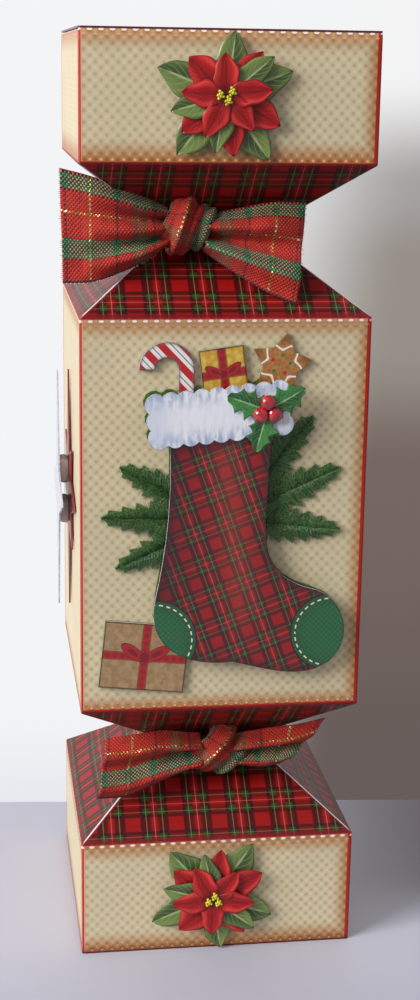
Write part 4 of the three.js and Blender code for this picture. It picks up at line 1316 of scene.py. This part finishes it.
def fir_needles(material):
    """Fine needles along each sprig's twig, over the die-cut sprig shapes."""
    chance = random.Random(21)
    spots = []
    for angle, length, width in SPRIGS:
        turn = math.radians(angle)
        out = Vector((math.sin(turn), 0, math.cos(turn)))
        side = Vector((math.cos(turn), 0, -math.sin(turn)))
        count = round(length / NEEDLE_STEP)
        for i in range(count):
            share = i / count
            for hand in (-1, 1):
                reach = width / 2 * math.sin(math.pi * (0.2 + 0.75 * share))
                ahead = reach * chance.uniform(0.35, 0.6)
                way = out * ahead + side * (hand * reach) + Vector((0, -chance.uniform(0, 0.5), 0))
                base = out * (length * share) + Vector((0, -BOX_HALF - SPRIG_DEPTH, FACE_MIDDLE))
                spots.append((base, way, way.length / width))
    strewn("topper_fir_needles", spots, material, "fir_print", SPRIGS[0][2], 0.26, 0.25)


def make_topper():
    core = paper("cut edge of the toppers", CORE)
    needle = fir_finish()
    fir_needles(needle)
    finish_node("topper_backing", needle)
    cutout("stocking_front", stocking_outline(), STOCKING_DEPTH, [stocking_finish(), core],
           "topper_stocking", "tartan_print", rings=(0.45, 2.6))
    cutout("fur_cuff", cuff_outline(), CUFF_DEPTH, [fur_finish(), core], "topper_cuff",
           "fur_print")
    cutout("candy_cane", cane_outline(), CANE_DEPTH, [cane_finish(), core], "topper_candy_cane",
           "cane_print", rings=(0.35, 0.4))
    finish_node("topper_biscuit_star", biscuit_finish())
    front = -BOX_HALF - GIFT_DEPTH
    reds = ("b01a1e", "7a0f14")
    finish_node("topper_small_gift", gift_finish(
        "gold gift print", *SMALL_GIFT, "c99a2e", "e6c25a", *reds, front))
    finish_node("topper_parcel", gift_finish(
        "kraft parcel print", *PARCEL, "9b7a52", "b3936a", *reds, front))
    green = leaf_finish("holly leaf print", "144020", "3f8a3c", "9cc98a")
    root = (HOLLY_AT[0], FACE_MIDDLE + HOLLY_AT[1])
    leaves = [leaf_rows(angle, length=9.5, width=7.4, depth=HOLLY_DEPTH, lift=0.3, cup=0.9,
                        curl=0.4, middle=root, fullness=0.6, spines=4)
              for angle in (70, -60, 165)]
    leaf_cluster("holly_sprig", leaves, [green, core], "topper_holly", "holly_print")
    berry_red = two_tone("glossy red berries", "8e0b12", "d0202a", (1.2, 2, 0.3, 0.7), 0.12,
                         Coat_Weight=1.0, Coat_Roughness=0.05)
    berry_cluster("holly_berries", arc(HOLLY_AT, BERRY_RING, 90, 450, 3), berry_red, "berry_gem",
                  "topper_berries")


# Foam pads and the favours inside

FOAM_LEVELS = 8
FOAM_CORNER = 0.9
FOAM_SQUEEZE = 0.3
FOAM_LEAN = 0.12
FOAM_SHY = 0.05
CROWN_POINT_STEP = 28.0
CROWN_POINT = 4.5
RIBBON_ON_GIFT = 4.0


def middle_and_half(node):
    low, high = (Vector(corner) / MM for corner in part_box(node))
    return (low + high) / 2, (high - low) / 2


def rounded_oblong(half_x, half_y, radius, steps=6):
    """Points round an oblong with rounded corners."""
    points = []
    for i, (sx, sy) in enumerate(((1, 1), (-1, 1), (-1, -1), (1, -1))):
        for k in range(steps + 1):
            angle = math.radians(90 * i + 90 * k / steps)
            points.append((sx * (half_x - radius) + radius * math.cos(angle),
                           sy * (half_y - radius) + radius * math.sin(angle)))
    return points


def foam_pad(name, node, material, sideways=False):
    """A sticky pad pressed between two layers: flat where it sticks, its sides bulging out."""
    middle, half = middle_and_half(node)
    wide, thin = (half.y, half.x) if sideways else (half.x, half.y)
    points, faces = [], []
    for level in range(FOAM_LEVELS + 1):
        share = level / FOAM_LEVELS
        squeeze = FOAM_SQUEEZE * (1 - math.sin(math.pi * min(max(share, 0.04), 0.96)) ** 0.7)
        lean = FOAM_LEAN * (share - 0.5)
        for u, v in rounded_oblong(wide - squeeze - FOAM_SHY, half.z - squeeze - FOAM_SHY,
                                   FOAM_CORNER):
            depth = thin * (2 * share - 1)
            point = (depth, u + lean, v) if sideways else (u + lean, depth, v)
            points.append(middle + Vector(point))
    count = len(points) // (FOAM_LEVELS + 1)
    for level in range(FOAM_LEVELS):
        a, b = level * count, (level + 1) * count
        faces += [(a + k, a + (k + 1) % count, b + (k + 1) % count, b + k) for k in range(count)]
    last = FOAM_LEVELS * count
    faces += [tuple(reversed(range(count))), tuple(range(last, last + count))]
    piece = put(name, points, faces, [material])
    shape = bmesh.new()
    shape.from_mesh(piece.data)
    bmesh.ops.recalc_face_normals(shape, faces=shape.faces)
    shape.to_mesh(piece.data)
    shape.free()
    for face in piece.data.polygons[-2:]:
        face.use_smooth = False
    on_shell(piece, "foam_pad", node)


def rolled_paper(name, node, width, inner, outer, turns, material, slot, thickness, crown=False):
    """A paper slip rolled up along the box's x axis; the crown is a flattened loop, rolled."""
    middle, _ = middle_and_half(node)
    steps = 30 * turns
    path = []
    for i in range(steps + 1):
        share = i / steps
        reach = outer + (inner - outer) * share
        reach += 0.08 * math.sin(3.3 * 2 * math.pi * turns * share)
        path.append((reach, 2 * math.pi * turns * share))
    if crown:
        step = (outer - inner) / turns / 2
        path += [(reach - step, angle) for reach, angle in reversed(path)]
    rows, walked = [], 0.0
    for i, (reach, angle) in enumerate(path):
        spot = Vector((0, reach * math.cos(angle), reach * math.sin(angle)))
        walked += (spot - rows[-1][1]).length if rows else 0.0
        rows.append((walked, spot))
    points, flat = [], []
    columns = 8
    for walked, spot in rows:
        tooth = CROWN_POINT * abs((walked / CROWN_POINT_STEP) % 1.0 * 2 - 1) if crown else 0.0
        for k in range(columns + 1):
            across = (width - tooth) * k / columns
            points.append(middle + spot + Vector((across - width / 2, 0, 0)))
            flat.append((across, walked))
    faces = grid_faces(len(rows), columns + 1, loop=crown)
    piece = put(name, points, faces, [material], flat, "paper")
    thicken(piece, thickness, 0)
    on_shell(piece, slot, node)


def paper_sleeve(material):
    """The snap's sleeve: paper wound once round the two strips and glued down over itself."""
    middle, half = middle_and_half("snap_paper_sleeve")
    round_once = rounded_oblong(half.x - 0.2, half.y - 0.25, 0.5, 5)
    path = round_once + [(x * 1.03, y * 1.12) for x, y in round_once[:9]]
    points = []
    for i, (x, y) in enumerate(path):
        for k in range(13):
            z = half.z * (k / 6 - 1)
            press = 0.06 * math.sin(0.9 * z + i)
            points.append(middle + Vector((x, y + press * abs(y) / half.y, z * 0.99)))
    piece = put("snap_paper_wrap", points, grid_faces(len(path), 13), [material])
    thicken(piece, 0.1, 0)
    length = length_of([(x, y, 0) for x, y in path])
    length * MM
    on_shell(piece, "thin_paper", "snap_paper_sleeve")


def box_point(p, half, radius):
    """A point of a cube's side, moved onto a box with rounded edges and slightly soft sides."""
    spot = Vector([c * h for c, h in zip(p, half)])
    inner = Vector([max(-h + radius, min(h - radius, c)) for c, h in zip(spot, half)])
    out = (spot - inner).normalized()
    dent = 0.22 * math.sin(0.55 * spot.x + 1.3) * math.sin(0.6 * spot.z)
    dent *= math.sin(0.5 * spot.y + 2)
    return inner + out * (radius - 0.15 + dent)


def wrapped_parcel(wrapping, ribbon):
    """The gift: a paper-wrapped box with folded ends, tied crosswise with a flat ribbon."""
    middle, half = middle_and_half("wrapped_gift")
    half = half - Vector((0.5, 0.5, 0.5))
    shape = bmesh.new()
    bmesh.ops.create_cube(shape, size=2.0)
    bmesh.ops.subdivide_edges(shape, edges=shape.edges, cuts=13, use_grid_fill=True)
    for vertex in shape.verts:
        vertex.co = (middle + box_point(vertex.co, half, 1.1)) * MM
    mesh = bpy.data.meshes.new("gift_parcel")
    shape.to_mesh(mesh)
    shape.free()
    on_shell(add_piece("gift_parcel", mesh, [wrapping]), "gift_paper", "wrapped_gift")
    for hand in (-1, 1):
        x = hand * (half.x + 0.12)
        for turn, reach in ((1, 0.0), (-1, 0.14)):
            flap = [middle + Vector((x + hand * reach, half.y * 0.92 * a, half.z * 0.94 * turn * b))
                    for a, b in ((-1, 1), (1, 1), (0.25, -0.15), (-0.25, -0.15))]
            place = ("upper_" if turn > 0 else "lower_") + ("right" if hand > 0 else "left")
            end = put("gift_end_flap_" + place, flap, [(0, 1, 2, 3)], [wrapping], smooth=False)
            on_shell(thicken(end, 0.12, 0), "gift_paper")
    for name, axis in (("gift_ribbon_across", "y"), ("gift_ribbon_along", "x")):
        reach = half.y if axis == "y" else half.x
        ring = rounded_oblong(reach + 0.1, half.z + 0.1, 1.2, 5)
        points = []
        for u, z in ring:
            for k in range(5):
                side = RIBBON_ON_GIFT * (k / 4 - 0.5)
                point = (side, u, z) if axis == "y" else (u, side, z)
                points.append(middle + Vector(point))
        band = put(name, points, grid_faces(len(ring), 5, loop=True), [ribbon])
        on_shell(thicken(band, 0.16, 0), "gift_paper")


def make_favours():
    foam = paper("white foam pad", "f4f4f0", 0.9, "dcdcd6")
    for end in ("top", "bottom"):
        foam_pad(f"{end}_flower_foam", f"{end}_poinsettia_pad", foam)
    for place in ("upper_foam", "middle_foam", "toe_foam", "left_cuff", "right_cuff"):
        foam_pad(f"stocking_{place}", f"topper_{place}_pad", foam)
    for place in ("upper", "lower"):
        foam_pad(f"star_{place}_foam", f"side_{place}_foam_pad", foam, sideways=True)
    slip = paper("motto and sleeve paper", "efe9dc", 0.8)
    rolled_paper("rolled_crown", "paper_crown", width=52.0, inner=3.1, outer=6.7, turns=9,
                 material=tissue_finish(), slot="crown_tissue", thickness=0.06, crown=True)
    rolled_paper("rolled_motto", "motto_slip", width=44.0, inner=0.9, outer=2.4, turns=4,
                 material=motto_finish(), slot="thin_paper", thickness=0.09)
    paper_sleeve(slip)
    wrapped_parcel(wrapping_finish(), thread_finish("red gift ribbon", "a5161f", "7c1016"))


def motto_finish():
    f = Finish("motto slip paper")
    fibre = f.patches(0.9, 4, 0.45, 0.75)
    colour = f.mix(fibre * 0.4, "efe9dc", "d9d0bd")
    return f.shade(colour, 0.8, Normal=f.bump(f.noise(f.place(), 0.3, 3), 0.04))


# Pieces kept as packed

def finish_node(name, material):
    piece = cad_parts[name]
    piece.data.materials.clear()
    piece.data.materials.append(material)


def star_finish(name, pale):
    """A layer of the side star: a frosted print, or the plain dark red layer behind it."""
    f = Finish(name)
    frost = f.noise(f.place(), 1.1, 4)
    crystals = f.patches(0.5, 1, 0.58, 0.66)
    if pale:
        colour = f.mix(f.step(frost, 0.35, 0.7), "cfcfd8", "a9aec4")
        colour = f.mix(crystals * 0.6, colour, "ececf4")
    else:
        colour = f.mix(f.step(frost, 0.35, 0.7), "8a1218", "6a0c12")
        colour = f.mix(crystals * 0.25, colour, "c8503c")
    return f.shade(colour, 0.38 - crystals * 0.12, Coat_Weight=0.3, Coat_Roughness=0.2)


def lid_finish(name, outer, inner, inner_rim):
    """A lid: tartan print outside and white card inside, told apart by height when it is shut."""
    f = Finish(name)
    x, y, z = f.axes(f.place())
    side = f.step(z, inner, outer)
    tone = f.patches(0.9, 4, 0.45, 0.75)
    inside = f.mix(tone * 0.3, PAPER_WHITE, "d8d2d0")
    colour = f.mix(side, inside, tartan_colour(f, x, y))
    rim = f.step(abs(x).most(abs(y)), inner_rim, inner_rim + 0.15)
    colour = f.mix(rim, colour, "5a0d10")
    return f.shade(colour, 0.4, Coat_Weight=0.2, Coat_Roughness=0.22)


def wrapping_finish():
    """Gold paper with small spots of paler gold, crinkled all over."""
    f = Finish("gold gift paper")
    x, y, z = f.axes(f.place())
    crinkle = f.noise(f.place(), 4, 5)
    colour = f.mix(f.step(crinkle, 0.3, 0.7), "b98a2e", "e6c873")
    dots = f.step(x.wave(5.0) * z.wave(5.0) * y.wave(5.0), 0.55, 0.75)
    colour = f.mix(dots * 0.7, colour, "f6e6b4")
    return f.shade(colour, 0.32, Metallic=0.4, Normal=f.bump(crinkle, 0.5))


def tissue_finish():
    f = Finish("red tissue crown")
    crush = f.noise(f.place(), 1.8, 5, (0.4, 1, 1))
    colour = f.mix(f.step(crush, 0.3, 0.7), "a5161f", "d8343c")
    return f.shade(colour, 0.85, Normal=f.bump(crush, 0.5))


def finish_kept_pieces():
    white = paper("white flap card", PAPER_WHITE)
    kraft = paper("kraft snap strip", "9b7a52", 0.8, "7d5f3c")
    finish_node("top_lid", lid_finish("top lid card", outer=BOX_TOP - 0.05,
                                      inner=BOX_TOP - 0.2, inner_rim=32.1))
    finish_node("bottom_lid", lid_finish("bottom lid card", outer=0.05, inner=0.2,
                                         inner_rim=31.5))
    for end in ("top", "bottom"):
        finish_node(f"{end}_tuck_flap", white)
        for side in ("left", "right"):
            finish_node(f"{end}_{side}_dust_flap", white)
    finish_node("side_star_backing", star_finish("dark red side star print", False))
    finish_node("side_star", star_finish("frosted side star print", True))
    finish_node("snap_lower_strip", kraft)
    finish_node("snap_upper_strip", kraft)


# Table, backdrop, lamps and camera

TABLE_EDGE = 50.8
TABLE_SKEW = 0.093
BACKDROP_AT = 1600.0
LAMP_AT = (-980, -500, 640)
LAMP_AIM = (0, 0, 105)
CAMERA_AT = (-55.3, -394.9, 205.9)
CAMERA_AHEAD = (0.1376, 0.9585, -0.2497)
CAMERA_RIGHT = (0.9903, -0.1383, 0.0148)


def table_finish():
    f = Finish("pale table")
    x, y, _ = f.axes(f.place())
    tone = f.noise(f.place(), 60, 3)
    # Painted shade: the table darker towards the front.
    colour = f.mix(f.step(y, -20, -85) * 0.6, "c6c6d4", "b4b4c2")
    # The box's shadow painted on the table, to its right and behind it.
    colour = f.mix(f.step(x, 20, 75) * f.step(y, -30, 0), colour, "7c7274")
    colour = f.mix(f.step(tone, 0.3, 0.7) * 0.12, colour, "b0acb6")
    # To light that bounces off it the table is darker than it looks, more so away from the box,
    # which deepens the shade under the box; the eye and gloss see its own colour.
    away = f.step(x.distance(y), 60, 240)
    colour = f.mix(f.seen(), f.mix(away * 0.7 + 0.15, colour, "000000"), colour)
    return f.shade(colour, 0.6)


def backdrop_finish():
    """Pale wall with the box's shadow painted on it to the right, as plain colour to the eye and to
    gloss.
    """
    f = Finish("pale wall")
    x, _, z = f.axes(f.place())
    # Painted shadow of the box on the wall, deepening downwards.
    colour = f.mix(f.step(z, 205, 70), "f3f3f3", "a6a2a1")
    colour = f.mix(f.step(z, 70, -20), colour, "979089")
    colour = f.mix(f.step(z, -120, -275), colour, "766762")
    colour = f.mix(f.step(z, -275, -700), colour, "685d5a")
    # The lit wall to the left of the painted shadow, a little darker low down.
    left = f.mix(f.step(z, -560, -760), "f3f4f6", "e6e6ee")
    colour = f.mix(f.step(x - z * 0.12, 230, 470), left, colour)
    # To light that bounces off it the wall glows a fifth dimmer than it looks.
    colour = f.mix((1 - f.seen()) * 0.2, colour, "000000")
    glow = f.node("Emission", inputs={"Color": colour, "Strength": 1.0})
    f.node("OutputMaterial", inputs={"Surface": glow}, output=None)
    return f.material


def make_stage():
    wide = 3000.0
    skew = wide * TABLE_SKEW
    table = put("table_top", [(-wide, -wide, 0), (wide, -wide, 0), (wide, TABLE_EDGE - skew, 0),
                              (-wide, TABLE_EDGE + skew, 0)], [(0, 1, 2, 3)], [table_finish()],
                smooth=False)
    wall = put("backdrop", [(-wide, BACKDROP_AT, -wide), (-wide, BACKDROP_AT, wide),
                            (wide, BACKDROP_AT, wide), (wide, BACKDROP_AT, -wide)],
               [(0, 1, 2, 3)], [backdrop_finish()], smooth=False)


def lamp(name, place, size, power):
    light = bpy.data.lights.new(name, "AREA")
    light.shape = "DISK"
    light.size = size
    light.energy = power
    holder = bpy.data.objects.new(name, light)
    holder.location = Vector(place) * MM
    aim = Vector(LAMP_AIM) - Vector(place)
    holder.rotation_euler = aim.to_track_quat("-Z", "Y").to_euler()
    bpy.context.scene.collection.objects.link(holder)


def make_lights():
    world = bpy.data.worlds.new("soft room light")
    bpy.context.scene.world = world
    world.use_nodes = True
    sky = world.node_tree.nodes["Background"]
    sky.inputs["Color"].default_value = ink("f1f1f4")
    sky.inputs["Strength"].default_value = 0.5
    lamp("window_light", LAMP_AT, size=0.7, power=16.5)


def make_camera():
    lens = bpy.data.cameras.new("photo_view")
    lens.sensor_width = 36.0
    pixels_long, focal_pixels = 1000, 1680.2
    lens.lens = lens.sensor_width * focal_pixels / pixels_long
    lens.clip_start, lens.clip_end = 0.01, 20.0
    holder = bpy.data.objects.new("photo_view", lens)
    ahead = Vector(CAMERA_AHEAD).normalized()
    right = Vector(CAMERA_RIGHT)
    right = (right - ahead * right.dot(ahead)).normalized()
    turn = Matrix((right, right.cross(ahead), -ahead)).transposed()
    holder.matrix_world = Matrix.Translation(Vector(CAMERA_AT) * MM) @ turn.to_4x4()
    bpy.context.scene.collection.objects.link(holder)
    bpy.context.scene.camera = holder


make_camera()
make_stage()
make_lights()
make_walls()
make_ribbons()
make_flowers()
make_topper()
make_favours()
finish_kept_pieces()

bpy.context.scene.view_settings.view_transform = "Standard"
